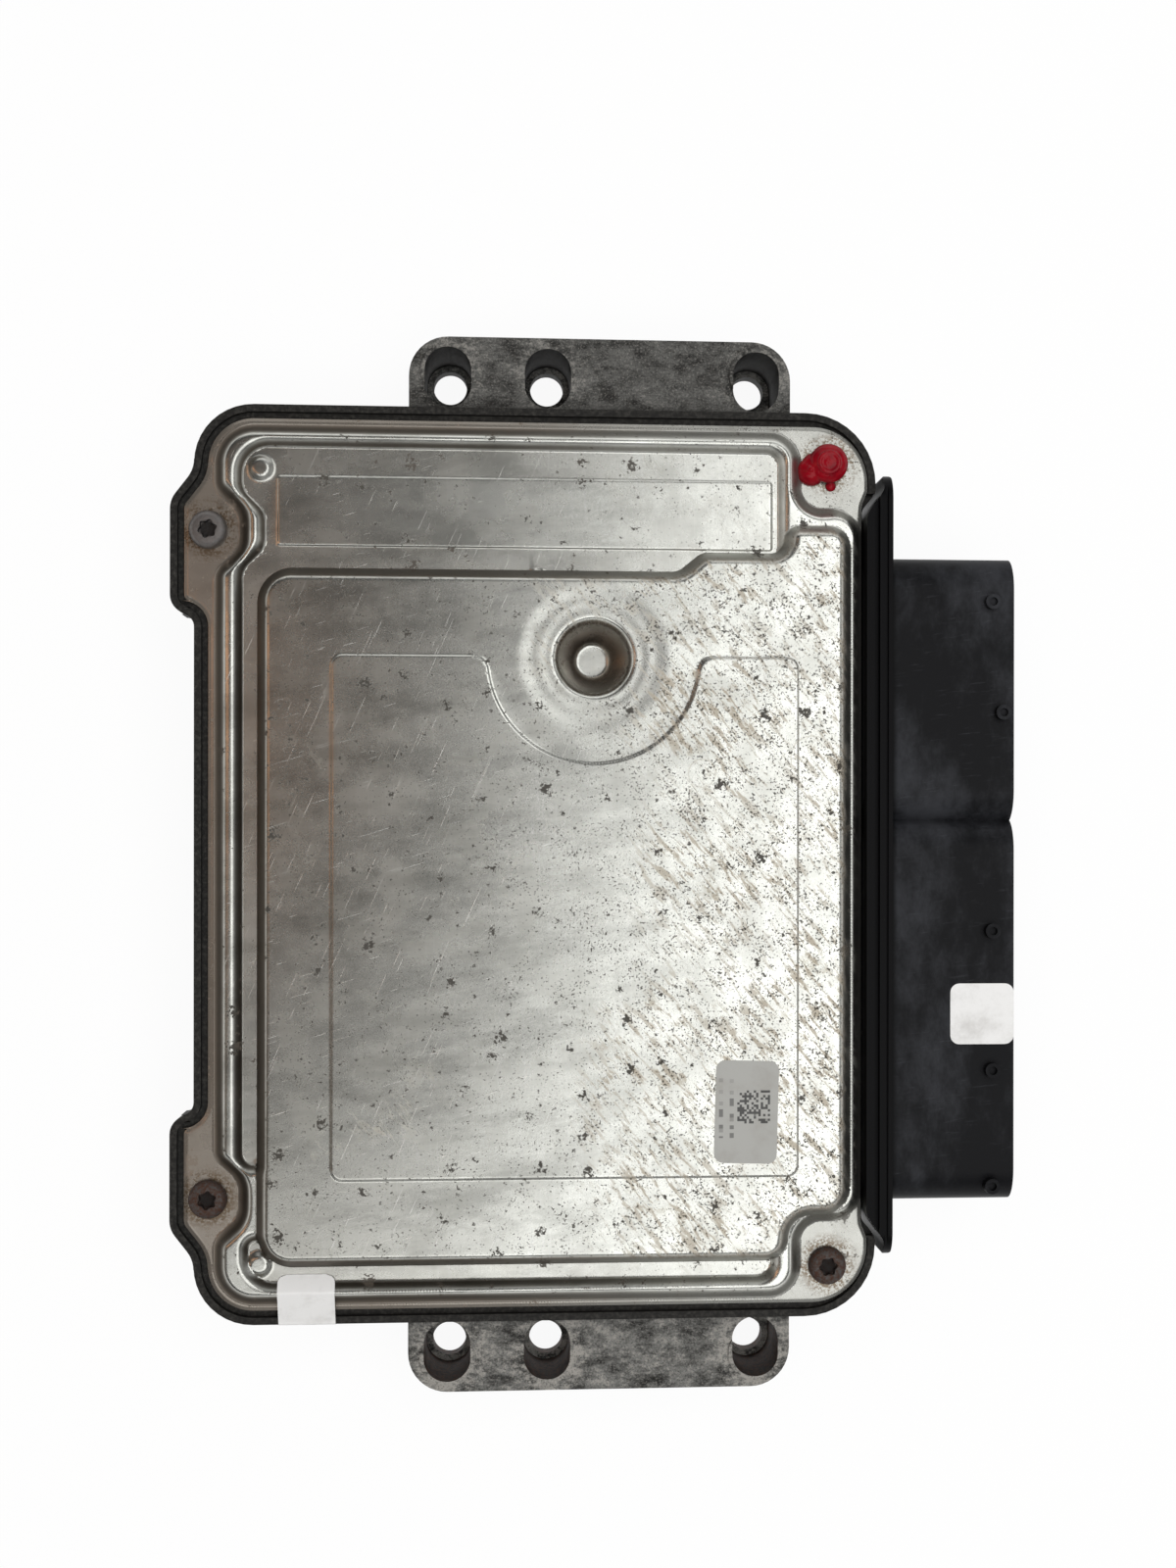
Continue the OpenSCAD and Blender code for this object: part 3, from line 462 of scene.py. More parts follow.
def code_finish(colours, middle, cell, reach):
    """A grey sticker with a block of dark cells and two broken bars."""
    finish = paper_finish("grey_label", colours.foil, (0.3, 0.29, 0.26))
    clean = finish.shader.inputs["Base Color"].links[0].from_socket
    block = finish.within(*middle, *reach, 0.05)
    printed = finish.step(finish.cells((cell, cell, 50.0), (*middle, -20.0)), 0.48, 0.52) * block
    for offset in BAR_OFFSETS:
        marks = finish.cells((50.0, 0.75, 50.0), (middle[0] + offset * 5.0 - 20.0, middle[1] + offset, -20.0))
        bar = finish.within(middle[0] + offset, middle[1] - 0.2, 0.4, 5.8, 0.05)
        printed = printed.most(finish.step(marks, 0.3, 0.35) * bar * 0.7)
    finish.set(Base_Color=finish.mix(printed * 0.9, Wire(finish, clean), (0.02, 0.02, 0.02)))
    return finish.material


def plain_finish(name, tone, second, size, roughness, metallic=0.0):
    """A finish of two tones for a piece inside the case."""
    finish = Finish(name)
    cloud = finish.noise(size, detail=4.0, rough=0.6)
    finish.set(
        Base_Color=finish.mix(finish.step(cloud, 0.3, 0.75), tone, second),
        Roughness=roughness + cloud * 0.15,
        Metallic=metallic,
    )
    finish.bump(cloud, 0.03, 0.6)
    return finish.material


# Mesh building

ARC_STEP = 5.0
STICKER_CORNER_R = 1.8
STICKER_STEPS = 24


def new_piece(name, vertices, faces, material, node):
    """A mesh piece in metres from points in millimetres, which stands for a node of the frame."""
    mesh = bpy.data.meshes.new(name)
    mesh.from_pydata([tuple(c * MM for c in v) for v in vertices], [], faces)
    mesh.validate()
    piece = bpy.data.objects.new(name, mesh)
    bpy.context.scene.collection.objects.link(piece)
    return adopt(piece, material, node)


def adopt(piece, material, node):
    """Gives a new piece its finish and its place in the frame."""
    piece.data.materials.clear()
    piece.data.materials.append(material)
    piece.data.shade_smooth()
    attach(piece, BODY)
    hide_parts(node)
    return piece


def face_outwards(piece, sharp_degrees):
    """Joins a piece's doubled points, turns its faces outwards and marks its sharp edges."""
    build = bmesh.new()
    build.from_mesh(piece.data)
    bmesh.ops.remove_doubles(build, verts=build.verts, dist=0.001 * MM)
    bmesh.ops.recalc_face_normals(build, faces=build.faces)
    build.to_mesh(piece.data)
    build.free()
    piece.data.set_sharp_from_angle(angle=math.radians(sharp_degrees))


def smooth_group():
    """A modifier's node group that smooths a mesh but keeps its sharp edges."""
    group = bpy.data.node_groups.get("smooth_faces")
    if group:
        return group
    group = bpy.data.node_groups.new("smooth_faces", "GeometryNodeTree")
    group.interface.new_socket("Geometry", in_out="INPUT", socket_type="NodeSocketGeometry")
    group.interface.new_socket("Geometry", in_out="OUTPUT", socket_type="NodeSocketGeometry")
    start = group.nodes.new("NodeGroupInput")
    end = group.nodes.new("NodeGroupOutput")
    faces = group.nodes.new("GeometryNodeSetShadeSmooth")
    edges = group.nodes.new("GeometryNodeSetShadeSmooth")
    edges.domain = "EDGE"
    edges.inputs["Shade Smooth"].default_value = False
    angle = group.nodes.new("GeometryNodeInputMeshEdgeAngle")
    sharp = group.nodes.new("FunctionNodeCompare")
    sharp.operation = "GREATER_THAN"
    sharp.inputs[1].default_value = math.radians(30)
    for source, target in (
        (start.outputs[0], faces.inputs["Geometry"]), (faces.outputs[0], edges.inputs["Geometry"]),
        (angle.outputs["Unsigned Angle"], sharp.inputs[0]), (sharp.outputs[0], edges.inputs["Selection"]),
        (edges.outputs[0], end.inputs[0]),
    ):
        group.links.new(source, target)
    return group


def dress(node, material, edge_round=0.0):
    """A node of the frame with its finish and, where asked, rounded edges."""
    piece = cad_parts[node]
    piece.data.materials.clear()
    piece.data.materials.append(material)
    if edge_round:
        weld = piece.modifiers.new("weld", "WELD")
        weld.merge_threshold = 0.01 * MM
        flat = piece.modifiers.new("flat", "DECIMATE")
        flat.decimate_type = "DISSOLVE"
        flat.angle_limit = math.radians(1.0)
        smooth = piece.modifiers.new("smooth", "NODES")
        smooth.node_group = smooth_group()
        bevel = piece.modifiers.new("edges", "BEVEL")
        bevel.width = edge_round
        bevel.segments = 2
        bevel.limit_method = "ANGLE"
        bevel.angle_limit = math.radians(35)
        bevel.harden_normals = True
        bevel.use_clamp_overlap = True
    return piece


def rounded(corners, inset=0.0):
    """Points of a closed outline of corners (x, y, radius), moved inwards by inset."""
    points = []
    for i, (x, y, radius) in enumerate(corners):
        before, after = corners[i - 1], corners[(i + 1) % len(corners)]
        u = Vector((x - before[0], y - before[1])).normalized()
        v = Vector((after[0] - x, after[1] - y)).normalized()
        turn = u.angle_signed(v, 0.0) * -1.0
        side = 1.0 if turn > 0 else -1.0
        normal = Vector((-u.y, u.x)) * side
        centre = Vector((x, y)) - u * radius * math.tan(abs(turn) / 2) + normal * radius
        start = math.atan2(-normal.y, -normal.x)
        steps = max(2, math.ceil(math.degrees(abs(turn)) / ARC_STEP))
        for k in range(steps + 1):
            a = start + turn * k / steps
            points.append(centre + Vector((math.cos(a), math.sin(a))) * (radius - side * inset))
    return points


def mirrored(corners):
    """The same corners on the other side of the X axis, in running order."""
    return [(x, -y, r) for x, y, r in reversed(corners)]


def depth_inside(points, x, y):
    """Signed distance of places to an outline: positive inside it."""
    px = np.array([p[0] for p in points])
    py = np.array([p[1] for p in points])
    qx, qy = np.roll(px, -1), np.roll(py, -1)
    best = np.full(x.shape, 1e9)
    inside = np.zeros(x.shape, bool)
    for ax, ay, bx, by in zip(px, py, qx, qy):
        dx, dy = bx - ax, by - ay
        size = dx * dx + dy * dy
        if size < 1e-12:
            continue
        t = np.clip(((x - ax) * dx + (y - ay) * dy) / size, 0.0, 1.0)
        best = np.minimum(best, (x - ax - t * dx) ** 2 + (y - ay - t * dy) ** 2)
        if abs(dy) > 1e-12:
            crossing = (ay > y) != (by > y)
            inside ^= crossing & (x < ax + (y - ay) * dx / dy)
    return np.sqrt(best) * np.where(inside, 1.0, -1.0)


def ease(t):
    """A smooth rise from 0 to 1."""
    t = np.clip(t, 0.0, 1.0)
    return t * t * (3 - 2 * t)


def bulge(t):
    """A rise from 0 to 1 that starts at a crease and levels out."""
    return np.sin(np.clip(t, 0.0, 1.0) * math.pi / 2)


def soft_least(a, b, reach):
    """The smaller of two distances, with a round corner where they meet."""
    near = np.clip(1 - np.abs(a - b) / reach, 0.0, 1.0)
    return np.minimum(a, b) - near * near * reach / 4


# The cover's lines, in millimetres of the frame

PAD_R = 5.8
X_COVER = X_WALL - 0.3
EAR_SCREW = (X_CASE + 2.8, 64.8)
CORNER_SCREW = (X_WALL - 7.1, Y_CASE - 10.1)
SCREWS = [(x, s * y) for x, y in (EAR_SCREW, CORNER_SCREW) for s in (-1, 1)]
FUNNEL = (X_CASE + 77.2, 40.2)
FUNNEL_R = 8.1
FUNNEL_END_R = 2.9
PANEL_ARC_R = 20.3
BOLT_X = (X_CASE + 48.7, X_CASE + 68.5, X_CASE + 110.1)
BOLT_Y = 98.0
BAR_OFFSETS = (-6.4, -4.3)
HOLE_R = 2.3
SHANK_R = 2.0
SHANK_L = 14.0

X_FOOT = (X_CASE + 3.7, X_COVER + 0.2)
Y_FOOT = Y_CASE - 3.7
BAY = (CORNER_SCREW[0] - PAD_R + 0.6, CORNER_SCREW[1] - 8.6)
X_FIELD = (X_CASE + 12.2, X_WALL - 3.0)
Y_FIELD = (11.3 - Y_CASE, Y_CASE - 31.8)
X_POCKET = (X_CASE + 9.5, X_WALL - 17.2)
Y_POCKET = Y_CASE - 8.5

EAR_CORNERS = [
    (X_CASE, Y_CASE, 11.5), (X_CASE, 76.6, 6), (X_CASE - EAR_OUT, 70.6, 5),
    (X_CASE - EAR_OUT, 48.5, 3.8), (X_CASE, 48.5, 2.4),
]


def ear_bay(x, reach):
    """Corners of a bay round an ear's screw, in a wall at x."""
    deep = EAR_SCREW[0] + reach
    mid = EAR_SCREW[1]
    return [(x, mid + 7.8, 4), (deep, mid + 3.4, 4.5), (deep, mid - 3.4, 4.5), (x, mid - 7.8, 4)]


X_LOBE = X_WALL + 0.9 + COVER_INSET
COVER_TOP = [(X_COVER + COVER_INSET, 70.6, 1), (X_LOBE, 73.6, 4), (X_LOBE, Y_CASE, 13.7)] + EAR_CORNERS
COVER_EDGE = COVER_TOP + mirrored(COVER_TOP)
SHOULDER_TOP = [
    (X_FOOT[1], BAY[1], 6.5), (BAY[0], BAY[1], 4), (BAY[0], Y_FOOT, 6.5), (X_FOOT[0], Y_FOOT, 8.2)
] + ear_bay(X_FOOT[0], PAD_R)
SHOULDER = SHOULDER_TOP + mirrored(SHOULDER_TOP)
UPPER_POCKET = [
    (X_POCKET[1], -58, 2), (X_POCKET[1], Y_POCKET, 2.4), (X_POCKET[0], Y_POCKET, 5.2)
] + ear_bay(X_POCKET[0], PAD_R + 5.3) + [(X_POCKET[0], -58, 2.2)]
LOWER_POCKET = [
    (X_POCKET[1] - 1.2, -Y_POCKET, 3), (X_POCKET[1] - 1.2, -72.9, 3),
    (X_POCKET[0] + 1.2, -72.9, 1.4), (X_POCKET[0] + 1.2, -Y_POCKET, 5),
]
FIELD = [
    (X_FIELD[1], 1.8 - BAY[1], 5.5), (X_FIELD[1], BAY[1] - 3.9, 4.2), (BAY[0] - 3.8, BAY[1] - 3.9, 3),
    (BAY[0] - 3.8, Y_FIELD[1] + 3.8, 2.6), (BAY[0] - 20, Y_FIELD[1] + 3.8, 3.4), (BAY[0] - 24.6, Y_FIELD[1], 3.4),
    (X_FIELD[0], Y_FIELD[1], 7), (X_FIELD[0], Y_FIELD[0], 7),
    (BAY[0] - 2.8, Y_FIELD[0], 5), (BAY[0] - 2.8, 1.8 - BAY[1], 4.5),
]
FIELD_PANEL = [
    (X_FIELD[1] - 10.5, Y_FIELD[0] + 17.2, 2.4), (X_FIELD[1] - 10.5, FUNNEL[1] + 0.4, 2.4),
    (X_FIELD[0] + 14.4, FUNNEL[1] + 0.4, 2.4), (X_FIELD[0] + 14.4, Y_FIELD[0] + 17.2, 2.4),
]
POCKET_PANEL = [
    (X_POCKET[1] - 1, Y_FIELD[1] + 4.1, 0.6), (X_POCKET[1] - 1, Y_CASE - 13.8, 0.8),
    (X_POCKET[0] + 6.4, Y_CASE - 13.8, 0.8), (X_POCKET[0] + 6.4, Y_FIELD[1] + 4.1, 0.6),
]
DIMPLES = [(X_POCKET[0] + 3.4, Y_CASE - 12.6), (X_POCKET[0] + 3.2, 12.0 - Y_CASE)]

SLOPE_W = 3.0
RIGHT_SLOPE_W = 2.4
POCKET_SLOPE_W = 2.1
FIELD_SLOPE_W = 2.7
PANEL_SLOPE_W = 0.48
DIMPLE_R = 2.8
DISH_DEPTH = 0.2
EDGE_ROLL_W = 0.7


class CoverForm:
    """Heights of the pressed cover's upper face."""

    def __init__(self, sizes):
        self.sheet = sizes.sheet / MM
        self.flange = COVER_LOW.z + funnel_reach(sizes) + self.sheet
        self.shoulder = self.flange + sizes.shoulder / MM
        self.pocket = self.shoulder - sizes.pocket / MM
        self.field = self.pocket + sizes.field / MM
        self.panel = sizes.panel / MM
        self.funnel = sizes.funnel / MM
        self.edge = rounded(COVER_EDGE, COVER_INSET)
        step_rings = (-0.25, 0.0, 0.12, 0.24, 0.36, 0.48, 0.75)
        self.lines = {
            "shoulder": (SHOULDER, (-0.3, -0.08, *np.linspace(0.0, SLOPE_W + 0.3, 10))),
            "upper": (UPPER_POCKET, (*np.linspace(-POCKET_SLOPE_W - 0.3, 0.0, 8), 0.08, 0.3)),
            "lower": (LOWER_POCKET, (*np.linspace(-POCKET_SLOPE_W - 0.3, 0.0, 8), 0.08, 0.3)),
            "field": (FIELD, (-0.3, -0.08, *np.linspace(0.0, FIELD_SLOPE_W + 0.3, 10))),
            "panel": (FIELD_PANEL, step_rings),
            "bed": (POCKET_PANEL, step_rings),
        }
        self.rounds = [
            (FUNNEL, [0.9, 1.8, 2.6, *np.linspace(FUNNEL_END_R - 0.1, FUNNEL_R + 0.1, 18), 8.6, 9.1]),
            (FUNNEL, np.linspace(9.5, 15.3, 12)),
            (FUNNEL, [PANEL_ARC_R + k for k in step_rings]),
        ] + [(place, np.linspace(0.4, DIMPLE_R + 0.3, 9)) for place in DIMPLES]
        self.rounds += [((FUNNEL[0] + s * PANEL_ARC_R, FUNNEL[1]), np.linspace(0.3, 3.3, 11)) for s in (-1, 1)]

    def depths(self, x, y):
        """Depth of places inside each line."""
        depth = {key: depth_inside(rounded(line), x, y) for key, (line, _) in self.lines.items()}
        depth["edge"] = depth_inside(self.edge, x, y)
        depth["round"] = np.hypot(x - FUNNEL[0], y - FUNNEL[1])
        return depth

    def busy(self, x, y, room):
        """True where the face bends, or within some room of such a place."""
        depth = self.depths(x, y)
        found = depth["edge"] < EDGE_ROLL_W + room
        for key, (_, rings) in self.lines.items():
            found |= (depth[key] > min(rings) - room) & (depth[key] < max(rings) + room)
        for (px, py), radii in self.rounds:
            reach = np.hypot(x - px, y - py)
            found |= (reach > min(radii) - room) & (reach < max(radii) + room)
        return found

    def height(self, x, y):
        """Height of the upper face."""
        depth = self.depths(x, y)
        slope = SLOPE_W + (RIGHT_SLOPE_W - SLOPE_W) * ease((x - X_WALL + 9.0) / 6.0)
        rise = depth["shoulder"] / slope
        z = self.flange + (self.shoulder - self.flange) * (0.65 * ease(rise) + 0.35 * bulge(rise))
        sunk = 1 - bulge(-np.maximum(depth["upper"], depth["lower"]) / POCKET_SLOPE_W)
        z = z + (self.pocket - z) * sunk
        for px, py in DIMPLES:
            z = z + 0.75 * ease((DIMPLE_R - np.hypot(x - px, y - py)) / 1.5)
        z = z + self.panel * ease(depth["bed"] / PANEL_SLOPE_W) * (sunk > 0.99)
        raised = bulge(depth["field"] / FIELD_SLOPE_W)
        z = z + (self.field - z) * raised
        framed = soft_least(depth["panel"], depth["round"] - PANEL_ARC_R, 3.0)
        z = z + self.panel * ease(framed / PANEL_SLOPE_W)
        z = z - DISH_DEPTH * (0.65 * ease((15.0 - depth["round"]) / 3.5) + 0.35 * ease((11.0 - depth["round"]) / 1.8))
        drop = ease((FUNNEL_R - depth["round"]) / (FUNNEL_R - FUNNEL_END_R))
        z = z - (self.funnel - DISH_DEPTH) * drop
        return z - 0.3 * (1 - ease(depth["edge"] / EDGE_ROLL_W))


def funnel_reach(sizes):
    """How far the funnel's end lies below the cover's flange, in millimetres."""
    levels = sizes.shoulder - sizes.pocket + sizes.field
    return (sizes.funnel - levels) / MM


def hex_points(low, high, step):
    """Points of a triangular lattice over a rectangle."""
    rows = np.arange(low[1], high[1], step * math.sqrt(3) / 2)
    columns = np.arange(low[0], high[0], step)
    x, y = np.meshgrid(columns, rows)
    x = x + (np.arange(len(rows)) % 2)[:, None] * step / 2
    return x.ravel(), y.ravel()


def spread_along(line, step, closed=True):
    """Points along a closed loop or an open line, at most a step apart."""
    points = []
    for p, q in zip(line, [*line[1:], line[0]] if closed else line[1:]):
        parts = max(1, math.ceil(math.dist(p, q) / step))
        points += [(p[0] + (q[0] - p[0]) * k / parts, p[1] + (q[1] - p[1]) * k / parts) for k in range(parts)]
    return points if closed else [*points, line[-1]]


def circle_loop(place, radius, step):
    """Points of a circle, about a step apart."""
    count = max(8, round(2 * math.pi * radius / step))
    turns = [2 * math.pi * k / count for k in range(count)]
    return [(place[0] + radius * math.cos(a), place[1] + radius * math.sin(a)) for a in turns]


def cover_mesh(form, fine_step, coarse_step):
    """Points and faces of the closed cover: upper face, underside and cut edges."""
    points, edges = [], []
    for loop in [spread_along(form.edge, fine_step)] + [circle_loop(place, HOLE_R, fine_step) for place in SCREWS]:
        first, count = len(points), len(loop)
        points += loop
        edges += [(first + k, first + (k + 1) % count) for k in range(count)]
    inner = []
    for inset in (0.2, 0.45, EDGE_ROLL_W, 1.0):
        inner += spread_along(rounded(COVER_EDGE, COVER_INSET + inset), fine_step)
    for line, rings in form.lines.values():
        for inset in rings:
            inner += spread_along(rounded(line, inset), fine_step)
    for place, radii in form.rounds:
        for radius in radii:
            inner += circle_loop(place, radius, fine_step)
    x, y = hex_points((COVER_LOW.x, COVER_LOW.y), (COVER_HIGH.x, COVER_HIGH.y), coarse_step)
    calm = ~form.busy(x, y, coarse_step * 0.4)
    inner += list(zip(x[calm], y[calm]))
    x, y = (np.array(c) for c in zip(*inner))
    keep = depth_inside(form.edge, x, y) > 0.12
    for sx, sy in SCREWS:
        keep &= np.hypot(x - sx, y - sy) > HOLE_R + 0.2
    cell = fine_step / 4
    sparse = {(round(px / cell), round(py / cell)): (px, py) for px, py in zip(x[keep], y[keep])}
    plan = [Vector(p) for p in points + list(sparse.values())]
    placed, _, triangles, *_ = geometry.delaunay_2d_cdt(plan, edges, [], 2, 1e-6)
    x = np.array([p.x for p in placed])
    y = np.array([p.y for p in placed])
    z = form.height(x, y)
    upper = list(zip(x, y, z))
    lower = list(zip(x, y, z - form.sheet))
    count = len(upper)
    faces = [tuple(t) for t in triangles] + [tuple(i + count for i in reversed(t)) for t in triangles]
    ways = {(t[i], t[(i + 1) % 3]) for t in triangles for i in range(3)}
    faces += [(b, a, a + count, b + count) for a, b in sorted(ways) if (b, a) not in ways]
    return upper + lower, faces


class PressCover(bpy.types.Operator):
    """Build the pressed cover as one smooth sheet"""

    bl_idname = "unit.press_cover"
    bl_label = "Press the cover"

    def execute(self, context):
        sizes = context.scene.unit_sizes
        form = CoverForm(sizes)
        points, faces = cover_mesh(form, sizes.fine_step / MM, sizes.coarse_step / MM)
        satin = cover_finish(context.scene.unit_colours, form.flange)
        piece = new_piece("pressed_sheet", points, faces, satin, "cover")
        piece.data.set_sharp_from_angle(angle=math.radians(62))
        return {"FINISHED"}


class FinishCase(bpy.types.Operator):
    """Give the cast case its edges and finish"""

    bl_idname = "unit.finish_case"
    bl_label = "Finish the case"

    def execute(self, context):
        dress("base_housing", case_finish(context.scene.unit_colours), context.scene.unit_sizes.edge_round)
        return {"FINISHED"}


class FinishHeader(bpy.types.Operator):
    """Give the header its edges and finish"""

    bl_idname = "unit.finish_header"
    bl_label = "Finish the header"

    def execute(self, context):
        dress("connector_header", header_finish(context.scene.unit_colours), context.scene.unit_sizes.edge_round)
        return {"FINISHED"}


def screw_mesh(place, under_head, sizes, turn):
    """Points and faces of a pan-head screw with a six-lobed recess."""
    radius = sizes.head / MM / 2
    height = sizes.head_height / MM
    recess = sizes.recess / MM / 2
    segments = 72
    profile = [
        (0.0, -SHANK_L, 0), (SHANK_R - 0.5, -SHANK_L, 0), (SHANK_R, -SHANK_L + 0.6, 0), (SHANK_R, 0.0, 0),
        (radius - 0.12, 0.0, 0), (radius, 0.12, 0), (radius, height * 0.4, 0),
    ]
    rim = recess + 0.3
    crown = math.radians(72)
    for a in np.linspace(0.0, crown, 9)[1:]:
        rise = 0.4 + 0.6 * math.sin(a) / math.sin(crown)
        profile.append((rim + (radius - rim) * math.cos(a), height * rise, 0))
    profile += [
        (recess + 0.08, height, 1), (recess, height - 0.1, 1), (recess * 0.96, height - 1.3, 1),
        (0.0, height - 1.4, 0),
    ]
    points = []
    for r, z, lobed in profile:
        for i in range(segments):
            a = 2 * math.pi * i / segments
            reach = r * (1 - 0.13 * (1 - math.cos(6 * a))) if lobed else r
            x, y = place[0] + reach * math.cos(a + turn), place[1] + reach * math.sin(a + turn)
            points.append((x, y, under_head + z))
    faces = []
    for j in range(len(profile) - 1):
        for i in range(segments):
            k = (i + 1) % segments
            faces.append((j * segments + i, j * segments + k, (j + 1) * segments + k, (j + 1) * segments + i))
    return points, faces


class DriveScrews(bpy.types.Operator):
    """Build the four cover screws"""

    bl_idname = "unit.drive_screws"
    bl_label = "Drive the cover screws"

    def execute(self, context):
        sizes = context.scene.unit_sizes
        under_head = CoverForm(sizes).flange
        points, faces = [], []
        for i, place in enumerate(SCREWS):
            more_points, more_faces = screw_mesh(place, under_head, sizes, 0.4 + 0.9 * i)
            faces += [tuple(k + len(points) for k in face) for face in more_faces]
            points += more_points
        steel = screw_finish(context.scene.unit_colours)
        piece = new_piece("pan_screws", points, faces, steel, "cover_screws")
        face_outwards(piece, 40)
        return {"FINISHED"}


class SealScrew(bpy.types.Operator):
    """Pour lacquer over one corner screw"""

    bl_idname = "unit.seal_screw"
    bl_label = "Seal a screw with lacquer"

    def execute(self, context):
        sizes = context.scene.unit_sizes
        flange = CoverForm(sizes).flange
        sx, sy = SCREWS[3]
        top = flange + sizes.head_height / MM
        drops = [
            (0.0, 0.0, top - 1.1, 3.9, 1.7), (-3.3, -1.5, flange + 0.2, 2.9, 2.0), (-2.6, -0.4, flange + 0.3, 2.7, 1.9),
            (-3.6, -1.3, flange + 1.7, 0.8, 0.8), (-2.3, -2.3, flange + 1.4, 0.6, 0.6), (0.6, -4.3, flange, 1.1, 0.9),
        ]
        drops += [
            (1.9 * math.cos(a), 1.9 * math.sin(a), top + 0.35, 0.5, 0.3) for a in np.linspace(0, 2 * math.pi, 25)[:-1]
        ]
        build = bmesh.new()
        for dx, dy, z, radius, rise in drops:
            ball = bmesh.ops.create_uvsphere(build, u_segments=32, v_segments=16, radius=1.0)["verts"]
            bmesh.ops.scale(build, vec=(radius * MM, radius * MM, rise * MM), verts=ball)
            bmesh.ops.translate(build, vec=((sx + dx) * MM, (sy + dy) * MM, z * MM), verts=ball)
        mesh = bpy.data.meshes.new("lacquer_blob")
        build.to_mesh(mesh)
        build.free()
        piece = bpy.data.objects.new("lacquer_blob", mesh)
        context.scene.collection.objects.link(piece)
        remesh = piece.modifiers.new("pool", "REMESH")
        remesh.mode = "VOXEL"
        remesh.voxel_size = 0.13 * MM
        remesh.use_smooth_shade = True
        soften = piece.modifiers.new("soften", "SMOOTH")
        soften.factor = 0.5
        soften.iterations = 12
        adopt(piece, lacquer_finish(context.scene.unit_colours), "tamper_seal")
        return {"FINISHED"}


def sticker(name, path, across, thickness, material, node):
    """A sticker with round corners, laid along a path of (place, normal) with a width across it."""
    columns = len(path)
    rows = STICKER_STEPS
    total = np.concatenate([[0.0], np.cumsum([(path[i + 1][0] - path[i][0]).length for i in range(columns - 1)])])
    upper, lower = [], []
    for i, (place, normal) in enumerate(path):
        near = min(total[i], total[-1] - total[i])
        short = max(0.0, STICKER_CORNER_R - near)
        pinch = STICKER_CORNER_R - math.sqrt(max(0.0, STICKER_CORNER_R ** 2 - short ** 2))
        half = across.length / 2 - pinch
        for j in range(rows + 1):
            p = place + across.normalized() * half * (2 * j / rows - 1)
            lower.append(tuple(p))
            upper.append(tuple(p + normal * thickness))
    width = rows + 1
    count = len(upper)
    faces = []
    for i in range(columns - 1):
        for j in range(rows):
            a = i * width + j
            quad = (a, a + 1, a + width + 1, a + width)
            faces.append(quad)
            faces.append(tuple(k + count for k in reversed(quad)))
    border = [*range(width), *(i * width + rows for i in range(1, columns))]
    border += [(columns - 1) * width + j for j in range(rows - 1, -1, -1)]
    border += [i * width for i in range(columns - 2, 0, -1)]
    for a, b in zip(border, border[1:] + border[:1]):
        faces.append((b, a, a + count, b + count))
    face_outwards(new_piece(name, upper + lower, faces, material, node), 50)


def straight_path(start, end):
    """A level path from start to end, with closer points near its ends."""
    shares = [(1 - math.cos(math.pi * k / STICKER_STEPS)) / 2 for k in range(STICKER_STEPS + 1)]
    return [(start.lerp(end, share), Vector((0, 0, 1))) for share in shares]


def sags(a, b, c):
    """True where a path sags at its middle point."""
    return (b[0] - a[0]) * (c[1] - a[1]) - (b[1] - a[1]) * (c[0] - a[0]) < 0


def draped_path(form, x, clear):
    """Path of the edge label: over the shoulder and the lip, then down the case's side."""
    side = -Y_CASE - clear
    ys = np.linspace(9.9 - Y_CASE, COVER_LOW.y, 60)
    zs = form.height(np.full(ys.shape, x), ys) + clear
    line = list(zip(ys, zs)) + [(1.4 - Y_CASE, LIP_TOP + clear), (0.35 - Y_CASE, LIP_TOP + clear)]
    hull = []
    for p in line:
        while len(hull) > 1 and sags(hull[-2], hull[-1], p):
            hull.pop()
        hull.append(p)
    turns = np.linspace(0.2, math.pi / 2, 6)
    bend = [(side + 0.4 * (1 - math.sin(a)), LIP_TOP + clear - 0.4 * (1 - math.cos(a))) for a in turns]
    line = hull + bend + [(side, z) for z in np.linspace(LIP_TOP - 1.0, LIP_TOP - 7.0, 8)]
    spread = spread_along(line, 0.5, closed=False)
    path = []
    for i, (y, z) in enumerate(spread):
        before, after = spread[max(0, i - 2)], spread[min(len(spread) - 1, i + 2)]
        along = Vector((0.0, after[0] - before[0], after[1] - before[1])).normalized()
        path.append((Vector((x, y, z)), Vector((0.0, along.z, -along.y))))
    return path


